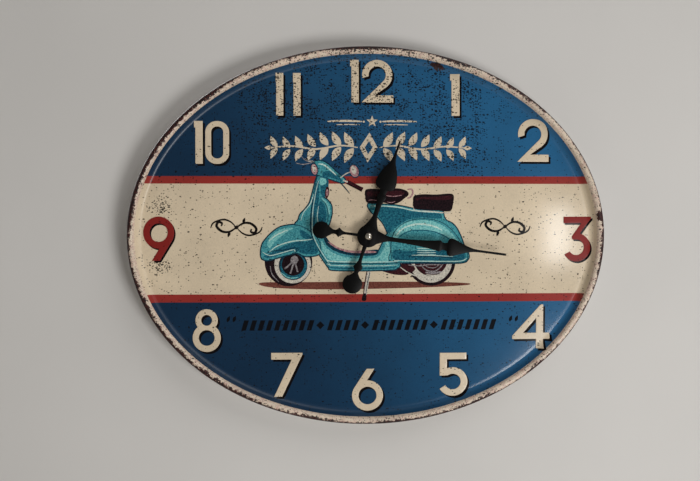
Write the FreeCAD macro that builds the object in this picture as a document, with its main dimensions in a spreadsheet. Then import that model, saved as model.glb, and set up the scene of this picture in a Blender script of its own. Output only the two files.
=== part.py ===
import FreeCAD, Part
import math
import os
import re
import sys
from FreeCAD import Placement, Rotation, Vector

# Oval pressed-tin wall clock with a quartz movement.
# Row frame: origin on the wall plane, behind the hands' axis. +Z is up, +X is to the
# reader's right, -Y points out of the wall towards the reader.
# A "depth" is the distance from the wall plane towards the reader, so y = -depth.

doc = FreeCAD.newDocument("WallClock")
sheet = doc.addObject("Spreadsheet::Sheet", "Sizes")

SIZES = {
    # pressed dial plate
    "oval_half_width": 200.0,
    "oval_half_height": 158.0,
    "edge_width": 9.4,           # from the crease round the dial to the outermost edge
    "rim_radius": 3.0,           # outside radius of the rolled rim
    "wall_height": 7.5,          # crease to the crest of the rim
    "crease_depth": 14.5,
    "dial_rise": 3.0,            # how far the middle of the dial stands proud of the crease
    "land_width": 2.0,           # flat strip inside the crease
    "tin": 0.5,
    "dome_radius": 30.0,
    # movement case
    "case_side": 56.0,
    "case_depth": 16.0,
    "case_wall": 1.5,
    "divider_low": -11.0,
    "divider_high": -9.5,
    "bay_height": -19.3,         # axis of the cell, above the hands' axis
    "cell_depth": 7.6,
    "bay_radius": 7.5,
    "hanger_height": 36.5,
    "hanger_hole_radius": 4.0,
    "hanger_radius": 8.0,
    "hanger_thick": 3.0,
    # centre fixing
    "bush_radius": 4.0,
    "bush_bore": 2.55,
    "bush_front": 22.5,
    "bush_flange_radius": 6.5,
    "bush_flange_thick": 0.8,
    "rubber_thick": 0.98,       # leaves the dial's slight curve clear of the washer
    "rubber_radius": 9.0,
    "washer_thick": 0.5,
    "washer_radius": 7.5,
    "nut_thick": 2.0,
    "nut_across_flats": 11.0,
    # hands and their tubes
    "hour_tube_radius": 2.5,
    "hour_tube_bore": 1.65,
    "hour_tube_front": 26.0,
    "hour_hand_back": 24.1,
    "minute_arbor_radius": 1.6,
    "minute_arbor_back": 10.6,
    "minute_shoulder": 27.6,
    "minute_tip_radius": 1.35,
    "minute_tip_front": 30.4,
    "hand_thick": 0.5,
    "cap_radius": 3.4,
    "cap_height": 3.2,
    # going train: pitch distances between arbors
    "third_distance": 9.4,
    "fifth_distance": 9.6,
    "rotor_distance": 6.0,
    "motion_distance": 9.0,
    "arbor_radius": 0.5,
    "pivot_radius": 0.3,
    "running_gap": 0.05,
    "bridge_back": 3.0,
    "bridge_thick": 1.0,
    "peg_radius": 0.7,
    # stepping motor
    "rotor_radius": 3.0,
    "stator_back": 5.3,
    "stator_thick": 0.8,
    "coil_x": 22.3,
    "coil_radius": 3.2,
    "core_depth": 6.5,
    # circuit board
    "board_back": 2.1,
    "board_thick": 0.8,
    # cell
    "cell_radius": 7.0,
    "sleeve_thick": 0.15,
    "cell_left": -24.9,
    "cell_right": 24.1,
    "nub_radius": 2.75,
    "nub_length": 1.2,
    "contact_thick": 0.3,
    "contact_x": 26.1,
    # setting knob
    "knob_radius": 5.0,
    "knob_back": 0.5,
    "knob_thick": 1.7,
    "knob_stem_radius": 1.2,
    "knob_hole_radius": 5.6,
}
for row, (alias, value) in enumerate(SIZES.items(), start=1):
    sheet.set("A%d" % row, alias)
    sheet.set("B%d" % row, str(value))
    sheet.setAlias("B%d" % row, alias)
doc.recompute()

# clock angles of the hands at rest, clockwise from twelve, and of the arbors round the centre
MINUTE_REST = 97.7
HOUR_REST = 18.5
THIRD_ANGLE = 62.0
FIFTH_ANGLE = -8.0
ROTOR_ANGLE = 35.0
MOTION_ANGLE = 172.0
KNOB_ANGLE = 140.0

# how far round the rim's roll goes, as an angle in its section
CURL_END = -150.0

# tooth counts
CANNON_TEETH = 15
MOTION_TEETH = 45
MOTION_PINION_TEETH = 12
HOUR_TEETH = 48
CENTRE_TEETH = 64
THIRD_TEETH = 60
SECOND_TEETH = 60
FIFTH_PINION_TEETH = 10
FIFTH_TEETH = 40
LEAVES = 8                       # third, second and rotor pinions

# depth bands (nearest the wall, nearest the reader) of the wheel layers
HOUR_LAYER = (13.3, 14.2)
MOTION_LAYER = (12.1, 13.0)
CENTRE_LAYER = (10.9, 11.6)
THIRD_LAYER = (9.8, 10.5)
SECOND_LAYER = (8.8, 9.5)
FIFTH_LAYER = (7.8, 8.5)

pieces = []


def size(alias):
    return float(sheet.get(alias))


def bind(obj, prop, formula):
    """Ties a property to a formula of sheet aliases, such as "case_depth - case_wall"."""
    obj.setExpression(prop, re.sub(r"[a-z_]+[a-z0-9_]*", lambda m: "Sizes." + m[0], str(formula)))


def at(obj, x, depth, z):
    bind(obj, "Placement.Base.x", x)
    bind(obj, "Placement.Base.y", "-(%s)" % depth)
    bind(obj, "Placement.Base.z", z)
    return obj


def rod(radius, back, front, x=0, z=0):
    """A round bar along Y between two depths."""
    obj = doc.addObject("Part::Cylinder", "Rod")
    obj.Placement = Placement(Vector(), Rotation(Vector(1, 0, 0), 90))
    bind(obj, "Radius", radius)
    bind(obj, "Height", "(%s) - (%s)" % (front, back))
    return at(obj, x, back, z)


def cross_rod(radius, left, right, depth, z):
    """A round bar along X."""
    obj = doc.addObject("Part::Cylinder", "CrossRod")
    obj.Placement = Placement(Vector(), Rotation(Vector(0, 1, 0), 90))
    bind(obj, "Radius", radius)
    bind(obj, "Height", "(%s) - (%s)" % (right, left))
    return at(obj, left, depth, z)


def block(left, right, back, front, low, high):
    obj = doc.addObject("Part::Box", "Block")
    bind(obj, "Length", "(%s) - (%s)" % (right, left))
    bind(obj, "Width", "(%s) - (%s)" % (front, back))
    bind(obj, "Height", "(%s) - (%s)" % (high, low))
    return at(obj, left, front, low)


def fuse(*shapes):
    obj = doc.addObject("Part::MultiFuse", "Fuse")
    obj.Shapes = list(shapes)
    return obj


def cut(base, *tools):
    obj = doc.addObject("Part::Cut", "Cut")
    obj.Base = base
    obj.Tool = tools[0] if len(tools) == 1 else fuse(*tools)
    return obj


def common(*shapes):
    obj = doc.addObject("Part::MultiCommon", "Common")
    obj.Shapes = list(shapes)
    return obj


def extrude(profile, back, front, name="Profile"):
    """Pads a flat face drawn at y = 0 forwards, from one depth to another."""
    flat = doc.addObject("Part::Feature", name)
    flat.Shape = profile
    obj = doc.addObject("Part::Extrusion", name + "Pad")
    obj.Base = flat
    obj.DirMode = "Custom"
    obj.Dir = Vector(0, -1, 0)
    obj.Solid = True
    bind(obj, "LengthFwd", "(%s) - (%s)" % (front, back))
    bind(obj, "Placement.Base.y", "-(%s)" % back)
    return obj


def piece(label, obj):
    obj.Label = label
    pieces.append(obj)
    return obj


def polar(distance, degrees, origin=(0.0, 0.0)):
    return (origin[0] + distance * math.cos(math.radians(degrees)),
            origin[1] + distance * math.sin(math.radians(degrees)))


def segment(a, b):
    return Part.LineSegment(a, b).toShape()


def arc(a, middle, b):
    return Part.Arc(a, middle, b).toShape()


def curve(points):
    spline = Part.BSplineCurve()
    spline.interpolate(points)
    return spline.toShape()


# ---------------------------------------------------------------- dial plate

def rim_section():
    """The tin at the oval's right-hand end: a sloping wall, and the rim rolled over backwards.
    u runs outwards from the crease and v is depth. The wall's foot ends inside the dial's tin."""
    thick = size("tin")
    crease = size("crease_depth")
    radius = size("rim_radius")
    centre_u = size("edge_width") - radius
    centre_v = crease + size("wall_height") - radius
    start_x = size("oval_half_width") - size("edge_width")

    def spot(u, v):
        return Vector(start_x + u, -v, 0)

    def on_rim(r, degrees):
        return spot(centre_u + r * math.cos(math.radians(degrees)),
                    centre_v + r * math.sin(math.radians(degrees)))

    # the wall's front runs from the crease to where it meets the rim's circle smoothly
    reach = math.hypot(centre_u, centre_v - crease)
    slope = math.atan2(centre_v - crease, centre_u) + math.asin(radius / reach)
    top = 90 + math.degrees(slope)
    foot_v = crease - thick / 2
    foot_u = -(thick / 2) / math.tan(slope)
    inner = radius - thick
    edges = [
        segment(spot(foot_u, foot_v), on_rim(radius, top)),
        arc(on_rim(radius, top), on_rim(radius, 20), on_rim(radius, CURL_END)),
        segment(on_rim(radius, CURL_END), on_rim(inner, CURL_END)),
        arc(on_rim(inner, CURL_END), on_rim(inner, 20), on_rim(inner, top)),
        segment(on_rim(inner, top), spot(foot_u + thick / math.sin(slope), foot_v)),
        segment(spot(foot_u + thick / math.sin(slope), foot_v), spot(foot_u, foot_v)),
    ]
    return Part.Wire(edges)


def oval_cylinder(shrink, back, front):
    """An upright oval block whose edge lies inside the crease by shrink."""
    half_x = size("oval_half_width") - size("edge_width") - shrink
    half_z = size("oval_half_height") - size("edge_width") - shrink
    ellipse = Part.Ellipse(Vector(half_x, 0, 0), Vector(0, 0, half_z), Vector())
    return extrude(Part.Face(Part.Wire([ellipse.toShape()])), back, front, "Oval")


def dome(shift):
    """A shallow ellipsoid whose cap is the dial; shift moves it towards the reader."""
    ball = doc.addObject("Part::Ellipsoid", "Dome")
    ball.Angle1, ball.Angle2, ball.Angle3 = -90, 90, 360
    spread = "sqrt(1 - ((dome_radius - dial_rise) / dome_radius)^2)"
    inset = "edge_width - land_width"
    for prop, half in (("Radius2", "oval_half_width"), ("Radius1", "oval_half_height")):
        formula = "(%s - %s) / %s" % (half, inset, spread)
        formula = re.sub(r"(?<![\w])(?!sqrt\b)([a-z_]+)", r"Sizes.\1", formula)
        ball.setExpression(prop, formula)
    bind(ball, "Radius3", "dome_radius")
    bind(ball, "Placement.Base.y", "-(crease_depth + dial_rise - dome_radius + %s)" % shift)
    return ball


def dial_plate():
    spine = doc.addObject("Part::Feature", "CreaseLine")
    half_x = size("oval_half_width") - size("edge_width")
    half_z = size("oval_half_height") - size("edge_width")
    ellipse = Part.Ellipse(Vector(half_x, 0, 0), Vector(0, 0, half_z), Vector())
    spine.Shape = Part.Wire([ellipse.toShape()])
    section = doc.addObject("Part::Feature", "RimSection")
    section.Shape = rim_section()
    rim = doc.addObject("Part::Sweep", "RolledRim")
    rim.Sections = [section]
    rim.Spine = (spine, ["Edge1"])
    rim.Solid = True
    rim.Frenet = True
    edge = oval_cylinder(-size("tin"), "crease_depth - 2 * tin", "dome_radius")
    hole = rod("bush_radius + 0.1", "crease_depth - tin", "dome_radius")
    skin = cut(cut(common(edge, dome("0")), dome("-tin")), hole)
    piece("dial_plate", fuse(rim, skin))


# ---------------------------------------------------------------- wheels

def wheel_profile(teeth, module, centre, phase, bore=0.0, lean=False):
    """A flat toothed face. phase is the angle in degrees of one tooth's middle."""
    pitch = teeth * module / 2
    tip, root = pitch + 0.8 * module, pitch - 1.2 * module
    tip_half = (0.28 if lean else 0.32) * module / tip
    root_half = (0.45 if lean else 0.80) * module / root
    step = 2 * math.pi / teeth
    points = []
    for k in range(teeth):
        middle = math.radians(phase) + k * step
        for radius, turn in ((root, -root_half), (tip, -tip_half), (tip, tip_half), (root, root_half)):
            points.append(Vector(centre[0] + radius * math.cos(middle + turn), 0,
                                 centre[1] + radius * math.sin(middle + turn)))
    face = Part.Face(Part.makePolygon(points + points[:1]))
    if bore:
        hole = Part.Circle(Vector(centre[0], 0, centre[1]), Vector(0, 1, 0), bore)
        face = face.cut(Part.Face(Part.Wire([hole.toShape()]))).Faces[0]
    return face


def toothed(teeth, module, centre, phase, layer, bore=0.0, lean=False):
    return extrude(wheel_profile(teeth, module, centre, phase, bore, lean), layer[0], layer[1], "Teeth")


def half_tooth(teeth):
    return 180.0 / teeth


third_at = polar(size("third_distance"), THIRD_ANGLE)
fifth_at = polar(size("fifth_distance"), FIFTH_ANGLE)
rotor_at = polar(size("rotor_distance"), ROTOR_ANGLE, fifth_at)
motion_at = polar(size("motion_distance"), MOTION_ANGLE)
knob_at = polar(size("motion_distance"), KNOB_ANGLE, motion_at)

motion_module = 2 * size("motion_distance") / (CANNON_TEETH + MOTION_TEETH)
hour_module = 2 * size("motion_distance") / (MOTION_PINION_TEETH + HOUR_TEETH)
centre_module = 2 * size("third_distance") / (LEAVES + CENTRE_TEETH)
third_module = 2 * size("third_distance") / (LEAVES + THIRD_TEETH)
second_module = 2 * size("fifth_distance") / (FIFTH_PINION_TEETH + SECOND_TEETH)
fifth_module = 2 * size("rotor_distance") / (LEAVES + FIFTH_TEETH)


def arbor(centre, back, front, pivot_back, pivot_front):
    """A plain arbor with a thinner pivot at each end."""
    x, z = centre
    return [rod("arbor_radius", back, front, x, z), rod("pivot_radius", pivot_back, pivot_front, x, z)]


def going_train():
    pivot_back = "bridge_back + 0.2"
    shaft_back = "bridge_back + bridge_thick + 0.1"
    piece("centre_wheel", toothed(CENTRE_TEETH, centre_module, (0, 0), THIRD_ANGLE, CENTRE_LAYER,
                                  bore=size("minute_arbor_radius") + size("running_gap")))
    piece("third_wheel", fuse(
        toothed(LEAVES, centre_module, third_at, THIRD_ANGLE + 180 + half_tooth(LEAVES), CENTRE_LAYER, lean=True),
        toothed(THIRD_TEETH, third_module, third_at, THIRD_ANGLE + 180, THIRD_LAYER),
        *arbor(third_at, shaft_back, CENTRE_LAYER[1], pivot_back, CENTRE_LAYER[1] + 1.1)))
    piece("second_wheel", fuse(
        toothed(LEAVES, third_module, (0, 0), THIRD_ANGLE + half_tooth(LEAVES), THIRD_LAYER, lean=True),
        toothed(SECOND_TEETH, second_module, (0, 0), FIFTH_ANGLE, SECOND_LAYER),
        *arbor((0, 0), shaft_back, 12.6, pivot_back, 12.6)))
    piece("fifth_wheel", fuse(
        toothed(FIFTH_PINION_TEETH, second_module, fifth_at, FIFTH_ANGLE + 180 + half_tooth(FIFTH_PINION_TEETH),
                SECOND_LAYER, lean=True),
        toothed(FIFTH_TEETH, fifth_module, fifth_at, ROTOR_ANGLE, FIFTH_LAYER),
        *arbor(fifth_at, shaft_back, SECOND_LAYER[1], pivot_back, SECOND_LAYER[1] + 1.0)))
    x, z = rotor_at
    piece("rotor_pinion", fuse(
        toothed(LEAVES, fifth_module, rotor_at, ROTOR_ANGLE + 180 + half_tooth(LEAVES), FIFTH_LAYER, lean=True),
        *arbor(rotor_at, shaft_back, FIFTH_LAYER[1], pivot_back, FIFTH_LAYER[1] + 1.0)))
    piece("rotor_magnet", cut(rod("rotor_radius", 4.4, 7.4, x, z), rod("arbor_radius", 4.2, 7.6, x, z)))


def motion_work():
    cannon = fuse(
        toothed(CANNON_TEETH, motion_module, (0, 0), MOTION_ANGLE, MOTION_LAYER),
        rod("minute_arbor_radius", "minute_arbor_back", "minute_shoulder"),
        rod(2.3, "minute_arbor_back", CENTRE_LAYER[0] - 0.05),
        rod("minute_tip_radius", "minute_shoulder", "minute_tip_front"))
    piece("minute_arbor", cut(cannon, rod("arbor_radius + running_gap", "minute_arbor_back - 1", 12.8)))
    piece("clutch_washer", cut(rod(3.4, CENTRE_LAYER[1] + 0.02, MOTION_LAYER[0] - 0.25),
                               rod("minute_arbor_radius", CENTRE_LAYER[1], MOTION_LAYER[0])))
    x, z = motion_at
    wheel = fuse(
        toothed(MOTION_TEETH, motion_module, motion_at, MOTION_ANGLE + 180 + half_tooth(MOTION_TEETH), MOTION_LAYER),
        rod(1.2, MOTION_LAYER[1], HOUR_LAYER[0], x, z),
        toothed(MOTION_PINION_TEETH, hour_module, motion_at, MOTION_ANGLE + 180, HOUR_LAYER, lean=True))
    piece("minute_wheel", cut(wheel, rod("0.6 + running_gap", 11, 15, x, z)))
    hour = fuse(
        toothed(HOUR_TEETH, hour_module, (0, 0), MOTION_ANGLE + half_tooth(HOUR_TEETH), HOUR_LAYER),
        rod("hour_tube_radius", HOUR_LAYER[0], "hour_tube_front"))
    piece("hour_wheel", cut(hour, rod("hour_tube_bore", 13, "hour_tube_front + 1")))
    x, z = knob_at
    # the knob's pinion meshes with a wheel whose teeth are already placed by the cannon pinion
    wheel_phase = MOTION_ANGLE + 180 + half_tooth(MOTION_TEETH)
    offset = ((KNOB_ANGLE - wheel_phase) * MOTION_TEETH / 360.0) % 1.0
    knob_phase = KNOB_ANGLE + 180 + (0.5 + offset) * 360.0 / CANNON_TEETH
    piece("setting_pinion", fuse(
        toothed(CANNON_TEETH, motion_module, knob_at, knob_phase, MOTION_LAYER),
        rod("knob_stem_radius", "knob_back + knob_thick", 14.3, x, z),
        rod(0.6, 14.3, 15.2, x, z)))
    grips = 24
    grip_module = 2 * size("knob_radius") / (grips + 1.6)
    knob = extrude(wheel_profile(grips, grip_module, knob_at, 0.0), "knob_back", "knob_back + knob_thick", "Grip")
    piece("setting_knob", cut(knob, block(x - 3.2, x + 3.2, 0.0, "knob_back + 0.6", z - 0.6, z + 0.6)))


# ---------------------------------------------------------------- hands

def hand(lengths, hub_radius, tail_centre, tail_radius, hole_radius, back, name):
    """A stamped hand pointing up: mirrored outlines joined to its hub and to the disc on its tail."""
    front = "%s + hand_thick" % back
    solids = [rod(hub_radius, back, front), rod(tail_radius, back, front, 0, tail_centre)]
    for points in lengths:
        right = [Vector(px, 0, pz) for px, pz in points]
        left = [Vector(-p.x, 0, p.z) for p in right]
        edges = [curve(right), segment(right[-1], left[-1]), curve(left), segment(left[0], right[0])]
        solids.append(extrude(Part.Face(Part.Wire(edges)), back, front, name))
    return cut(fuse(*solids), rod(hole_radius, back, front))


def turned(obj, clock_angle):
    holder = doc.addObject("Part::Compound", "Turned")
    holder.Links = [obj]
    holder.Placement = Placement(Vector(), Rotation(Vector(0, 1, 0), clock_angle))
    return holder


def minute_hand():
    lengths = [
        # arm from the hub to the barb
        [(6.4, 5.0), (3.5, 12.5), (1.95, 19.0), (2.1, 34.0), (3.2, 49.0), (4.7, 60.3)],
        # barb and neck
        [(4.7, 60.3), (3.3, 61.8), (3.0, 64.0), (3.6, 66.0)],
        # spade and spear
        [(3.6, 66.0), (6.6, 67.2), (7.3, 70.6), (4.3, 78.6), (1.9, 86.0), (1.05, 94.0), (1.0, 116.0)],
        # tail arm
        [(1.2, -6.0), (1.1, -16.0), (1.4, -21.0), (4.1, -25.0)],
        # tail barb and neck
        [(4.1, -25.0), (2.0, -27.2), (2.1, -30.2), (4.9, -34.3)],
    ]
    blade = hand(lengths, 8.7, -39.5, 7.2, "minute_tip_radius", "minute_shoulder", "MinuteOutline")
    piece("minute_hand", turned(blade, MINUTE_REST))
    back = "minute_shoulder + hand_thick"
    dome_top = "minute_shoulder + hand_thick + cap_height"
    ball = doc.addObject("Part::Sphere", "CapBall")
    bind(ball, "Radius", "cap_radius * 1.02")
    at(ball, 0, "%s - cap_radius * 1.02" % dome_top, 0)
    nut = common(ball, rod("cap_radius", back, dome_top))
    piece("hand_cap_nut", cut(nut, rod("minute_tip_radius", back, "minute_tip_front")))


def hour_hand():
    lengths = [
        [(7.2, 5.0), (4.3, 10.8), (2.4, 16.0), (2.0, 22.0), (2.6, 29.0), (4.2, 35.0)],
        [(4.2, 35.0), (3.0, 36.4), (2.8, 38.5), (3.6, 40.6)],
        [(3.6, 40.6), (7.4, 42.4), (8.7, 47.6), (6.3, 57.0), (2.7, 64.0), (1.1, 71.5), (0.8, 83.5)],
        [(1.8, -6.0), (1.5, -15.0), (1.7, -22.0), (4.0, -27.5)],
        [(4.0, -27.5), (2.1, -30.6), (2.2, -32.6), (5.2, -36.2)],
    ]
    blade = hand(lengths, 9.35, -41.8, 8.2, "hour_tube_radius + 0.3", "hour_hand_back", "HourOutline")
    piece("hour_hand", turned(blade, HOUR_REST))
    sleeve = fuse(rod("hour_tube_radius + 0.3", "bush_front + 0.3", "hour_tube_front - 0.3"),
                  rod("hour_tube_radius + 1.1", "hour_hand_back - 0.4", "hour_hand_back"))
    piece("hour_hand_collet", cut(sleeve, rod("hour_tube_radius", "bush_front", "hour_tube_front")))


# ---------------------------------------------------------------- centre fixing

def centre_fixing():
    front = "case_depth"
    dial_back = "case_depth + rubber_thick"
    dial_front = "crease_depth + dial_rise"
    piece("rubber_washer", cut(rod("rubber_radius", front, dial_back),
                               rod("bush_radius", front, dial_back)))
    piece("brass_washer", cut(rod("washer_radius", dial_front, "%s + washer_thick" % dial_front),
                              rod("bush_radius", dial_front, "%s + washer_thick" % dial_front)))
    corner = size("nut_across_flats") / 2 / math.cos(math.radians(30))
    points = [Vector(corner * math.cos(math.radians(60 * k)), 0, corner * math.sin(math.radians(60 * k)))
              for k in range(7)]
    seat = "%s + washer_thick" % dial_front
    body = extrude(Part.Face(Part.makePolygon(points)), seat, "%s + nut_thick" % seat, "Hexagon")
    piece("hex_nut", cut(body, rod("bush_radius", seat, "%s + nut_thick" % seat)))
    flange_back = "case_depth - case_wall"
    barrel = fuse(rod("bush_radius", flange_back, "bush_front - 0.4"),
                  rod("bush_radius - 0.35", "bush_front - 0.4", "bush_front"),
                  rod("bush_flange_radius", flange_back, "%s + bush_flange_thick" % flange_back))
    piece("mounting_bush", cut(barrel, rod("bush_bore", flange_back, "bush_front")))


# ---------------------------------------------------------------- movement case

PILLARS = [(-18.5, -6.6), (13.6, -6.8), (12.8, 14.8), (-18.5, 14.8)]
BOARD_POSTS = [(-23.0, 22.5), (12.5, 22.5)]


def movement_case():
    half = "case_side / 2"
    inner = "case_side / 2 - case_wall"
    floor = "case_depth - case_wall"
    shell = block("-(%s)" % half, half, 0, "case_depth", "-(%s)" % half, half)
    chamber = block("-(%s)" % inner, inner, 0, floor, "divider_high", inner)
    lid_seat = block("-(%s)" % half, half, 0, "case_wall", "divider_low", half)
    bay = block("-(%s)" % inner, inner, 0, "cell_depth", "bay_height - bay_radius", "bay_height + bay_radius")
    trough = cross_rod("bay_radius", "-(%s)" % inner, inner, "cell_depth", "bay_height")
    slots = [block("%s" % a, "%s" % b, 0, 6.4, "divider_low - 1", "divider_high + 0.5")
             for a, b in ((25.8, inner), ("-(%s)" % inner, -25.8))]
    flange_seat = rod("bush_flange_radius", floor, "%s + bush_flange_thick" % floor)
    bush_hole = rod("bush_radius", floor, "case_depth")
    knob_pivot = rod("0.6 + running_gap", floor, 15.3, *knob_at)
    body = cut(shell, chamber, lid_seat, bay, trough, flange_seat, bush_hole, knob_pivot, *slots)
    posts = []
    for x, z in PILLARS:
        posts.append(rod(1.2, "bridge_back + bridge_thick", floor, x, z))
        posts.append(rod("peg_radius", "bridge_back - 0.3", floor, x, z))
    for x, z in BOARD_POSTS:
        posts.append(rod(1.5, "board_back + board_thick", floor, x, z))
        posts.append(rod("peg_radius", "board_back - 0.3", floor, x, z))
    posts.append(rod(0.6, 12.0, floor, *motion_at))
    bearings, pivots = [], []
    for spot, top in ((third_at, CENTRE_LAYER[1] + 0.2), (fifth_at, SECOND_LAYER[1] + 0.2),
                      (rotor_at, FIFTH_LAYER[1] + 0.2)):
        bearings.append(rod(0.8, top, floor, *spot))
        pivots.append(rod("pivot_radius + running_gap", top, top + 1.1, *spot))
    top_edge = "case_side / 2"
    hanger = fuse(rod("hanger_radius", 0, "hanger_thick", 0, "hanger_height"),
                  block("-hanger_radius", "hanger_radius", 0, "hanger_thick", top_edge, "hanger_height"),
                  block("-hanger_radius", -5.5, "case_wall", 9.0, "%s - case_wall" % top_edge, 30.5),
                  block(5.5, "hanger_radius", "case_wall", 9.0, "%s - case_wall" % top_edge, 30.5))
    hole = rod("hanger_hole_radius", 0, "hanger_thick", 0, "hanger_height")
    piece("movement_case", cut(fuse(body, hanger, *posts, *bearings), hole, *pivots))


def rear_cover():
    half = "case_side / 2"
    inner = "case_side / 2 - case_wall"
    plate = block("-(%s)" % half, half, 0, "case_wall", "divider_low", half)
    skirt_front = "case_wall + 0.5"
    outer = block("-(%s) + 0.2" % inner, "%s - 0.2" % inner, "case_wall", skirt_front,
                  "divider_high + 0.2", "%s - 0.2" % inner)
    hollow = block("-(%s) + 1.2" % inner, "%s - 1.2" % inner, "case_wall", skirt_front,
                   "divider_high + 1.2", "%s - 1.2" % inner)
    x, z = knob_at
    piece("rear_cover", cut(fuse(plate, cut(outer, hollow)), rod("knob_hole_radius", 0, "case_wall", x, z)))


def train_bridge():
    front = "bridge_back + bridge_thick"
    plate = block(-20.2, 17.0, "bridge_back", front, -8.4, 16.8)
    notch = block(-5.0, 2.0, "bridge_back", front, 12.0, 16.8)
    pivots = [rod("pivot_radius + running_gap", "bridge_back", front, x, z)
              for x, z in ((0, 0), third_at, fifth_at, rotor_at)]
    stem = rod("knob_stem_radius + running_gap", "bridge_back", front, *knob_at)
    pegs = [rod("peg_radius", "bridge_back", front, x, z) for x, z in PILLARS]
    # a finger that stops the minute wheel sliding back off its post
    keeper = rod(0.8, front, MOTION_LAYER[0] - 0.1, *polar(12.6, MOTION_ANGLE))
    piece("train_bridge", cut(fuse(plate, keeper), notch, stem, *pivots, *pegs))


# ---------------------------------------------------------------- stepping motor and circuit

def motor():
    x, z = rotor_at
    front = "stator_back + stator_thick"
    iron = fuse(block(10.6, 18.6, "stator_back", front, -9.0, 6.8),
                block(10.6, 24.5, "stator_back", front, -9.0, -4.9),
                block(10.6, 15.0, "stator_back", front, 6.8, 18.0),
                block(10.6, 24.5, "stator_back", front, 14.4, 18.0))
    holes = [rod("rotor_radius + 0.4", "stator_back", front, x, z)]
    holes += [rod("1.2 + running_gap", "stator_back", front, px, pz) for px, pz in PILLARS[1:3]]
    piece("stator", cut(iron, *holes))
    core = block("coil_x - 1.4", "coil_x + 1.4", front, "%s + 0.8" % front, -9.0, 18.0)
    piece("coil_core", core)
    reach = "(coil_radius + 0.15)"
    spool = fuse(*[block("coil_x - %s" % reach, "coil_x + %s" % reach, "core_depth - %s" % reach,
                         "core_depth + %s" % reach, low, low + 0.8) for low in (-4.8, 13.5)],
                 block("coil_x - 1.9", "coil_x + 1.9", "core_depth - 0.9", "core_depth + 0.9", -4.4, 14.0))
    slot = block("coil_x - 1.4", "coil_x + 1.4", front, "%s + 0.8" % front, -5, 15)
    piece("coil_bobbin", cut(spool, slot))
    wire = doc.addObject("Part::Cylinder", "Winding")
    bind(wire, "Radius", "coil_radius")
    wire.Height = 17.5
    at(wire, "coil_x", "core_depth", -4.0)
    bobbin_tube = block("coil_x - 1.9", "coil_x + 1.9", "core_depth - 0.9", "core_depth + 0.9", -4.0, 13.5)
    piece("coil_winding", cut(wire, bobbin_tube))


def circuit():
    front = "board_back + board_thick"
    pegs = [rod("peg_radius", "board_back", front, x, z) for x, z in BOARD_POSTS]
    piece("circuit_board", cut(block(-25.6, 15.0, "board_back", front, 19.0, 26.0), *pegs))
    can = cross_rod(1.0, -12.0, -6.0, "%s + 1.0" % front, 22.0)
    piece("quartz_crystal", can)
    blob = doc.addObject("Part::Sphere", "Blob")
    blob.Radius = 4.2
    at(blob, 1.0, "%s - 3.0" % front, 22.4)
    piece("circuit_chip", common(blob, block(-5, 7, front, "%s + 2" % front, 18, 27)))


def contacts():
    board_front = "board_back + board_thick"
    tab_front = "%s + contact_thick" % board_front
    edge = "contact_x + contact_thick"
    right = fuse(block("contact_x", edge, board_front, 6.2, "bay_height - 3", 24.5),
                 block("contact_x", edge, 5.8, 9.4, "bay_height - 3", "bay_height + 3"),
                 block(14.2, edge, board_front, tab_front, 22.0, 24.5),
                 cross_rod(1.6, "cell_right + nub_length + 0.05", "contact_x", "cell_depth", "bay_height"))
    piece("positive_contact", right)
    left_edge = "-(%s)" % edge
    leaf = [Vector(-26.4, 0, 0), Vector(-25.25, 0, 3.6), Vector(-26.4, 0, 7.2)]
    inner = [Vector(-26.1, 0, 0), Vector(-24.97, 0, 3.6), Vector(-26.1, 0, 7.2)]
    low = size("bay_height") - 3.6
    for line in (leaf, inner):
        for k, p in enumerate(line):
            line[k] = Vector(p.x - 0.05, 0, p.z + low)
    bow = Part.Face(Part.Wire([arc(*leaf), segment(leaf[2], inner[2]), arc(*reversed(inner)),
                               segment(inner[0], leaf[0])]))
    left = fuse(block(left_edge, "-contact_x", board_front, 6.2, "bay_height + 3", 24.5),
                block(left_edge, -24.7, board_front, tab_front, 22.0, 24.5),
                extrude(bow, "cell_depth - 2.4", "cell_depth + 2.4", "Leaf"))
    piece("negative_contact", left)


def cell():
    can = fuse(cross_rod("cell_radius", "cell_left + 0.3", "cell_right", "cell_depth", "bay_height"),
               cross_rod("cell_radius - 1.4", "cell_left", "cell_left + 0.3", "cell_depth", "bay_height"),
               cross_rod("nub_radius", "cell_right", "cell_right + nub_length", "cell_depth", "bay_height"))
    piece("battery_cell", can)
    skin = cross_rod("cell_radius + sleeve_thick", "cell_left + 0.3", "cell_right", "cell_depth", "bay_height")
    bore = cross_rod("cell_radius", "cell_left + 0.3", "cell_right", "cell_depth", "bay_height")
    piece("battery_sleeve", cut(skin, bore))


dial_plate()
centre_fixing()
movement_case()
rear_cover()
train_bridge()
motor()
circuit()
contacts()
cell()
going_train()
motion_work()
minute_hand()
hour_hand()

doc.recompute()

bad = [o.Label for o in doc.Objects if "Invalid" in o.State or "Error" in o.State]
for obj in pieces:
    if obj.Shape.isNull() or not obj.Shape.isValid() or not obj.Shape.Solids:
        bad.append(obj.Label)
if bad:
    sys.exit("failed objects: %s" % ", ".join(sorted(set(bad))))

os.makedirs("parts", exist_ok=True)
for obj in pieces:
    obj.Shape.exportStep("parts/%s.step" % obj.Label)
    print("%-18s %d solid(s) %10.1f mm3" % (obj.Label, len(obj.Shape.Solids), obj.Shape.Volume))
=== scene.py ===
import math

import bmesh
import bpy
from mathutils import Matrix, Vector, noise


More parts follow.
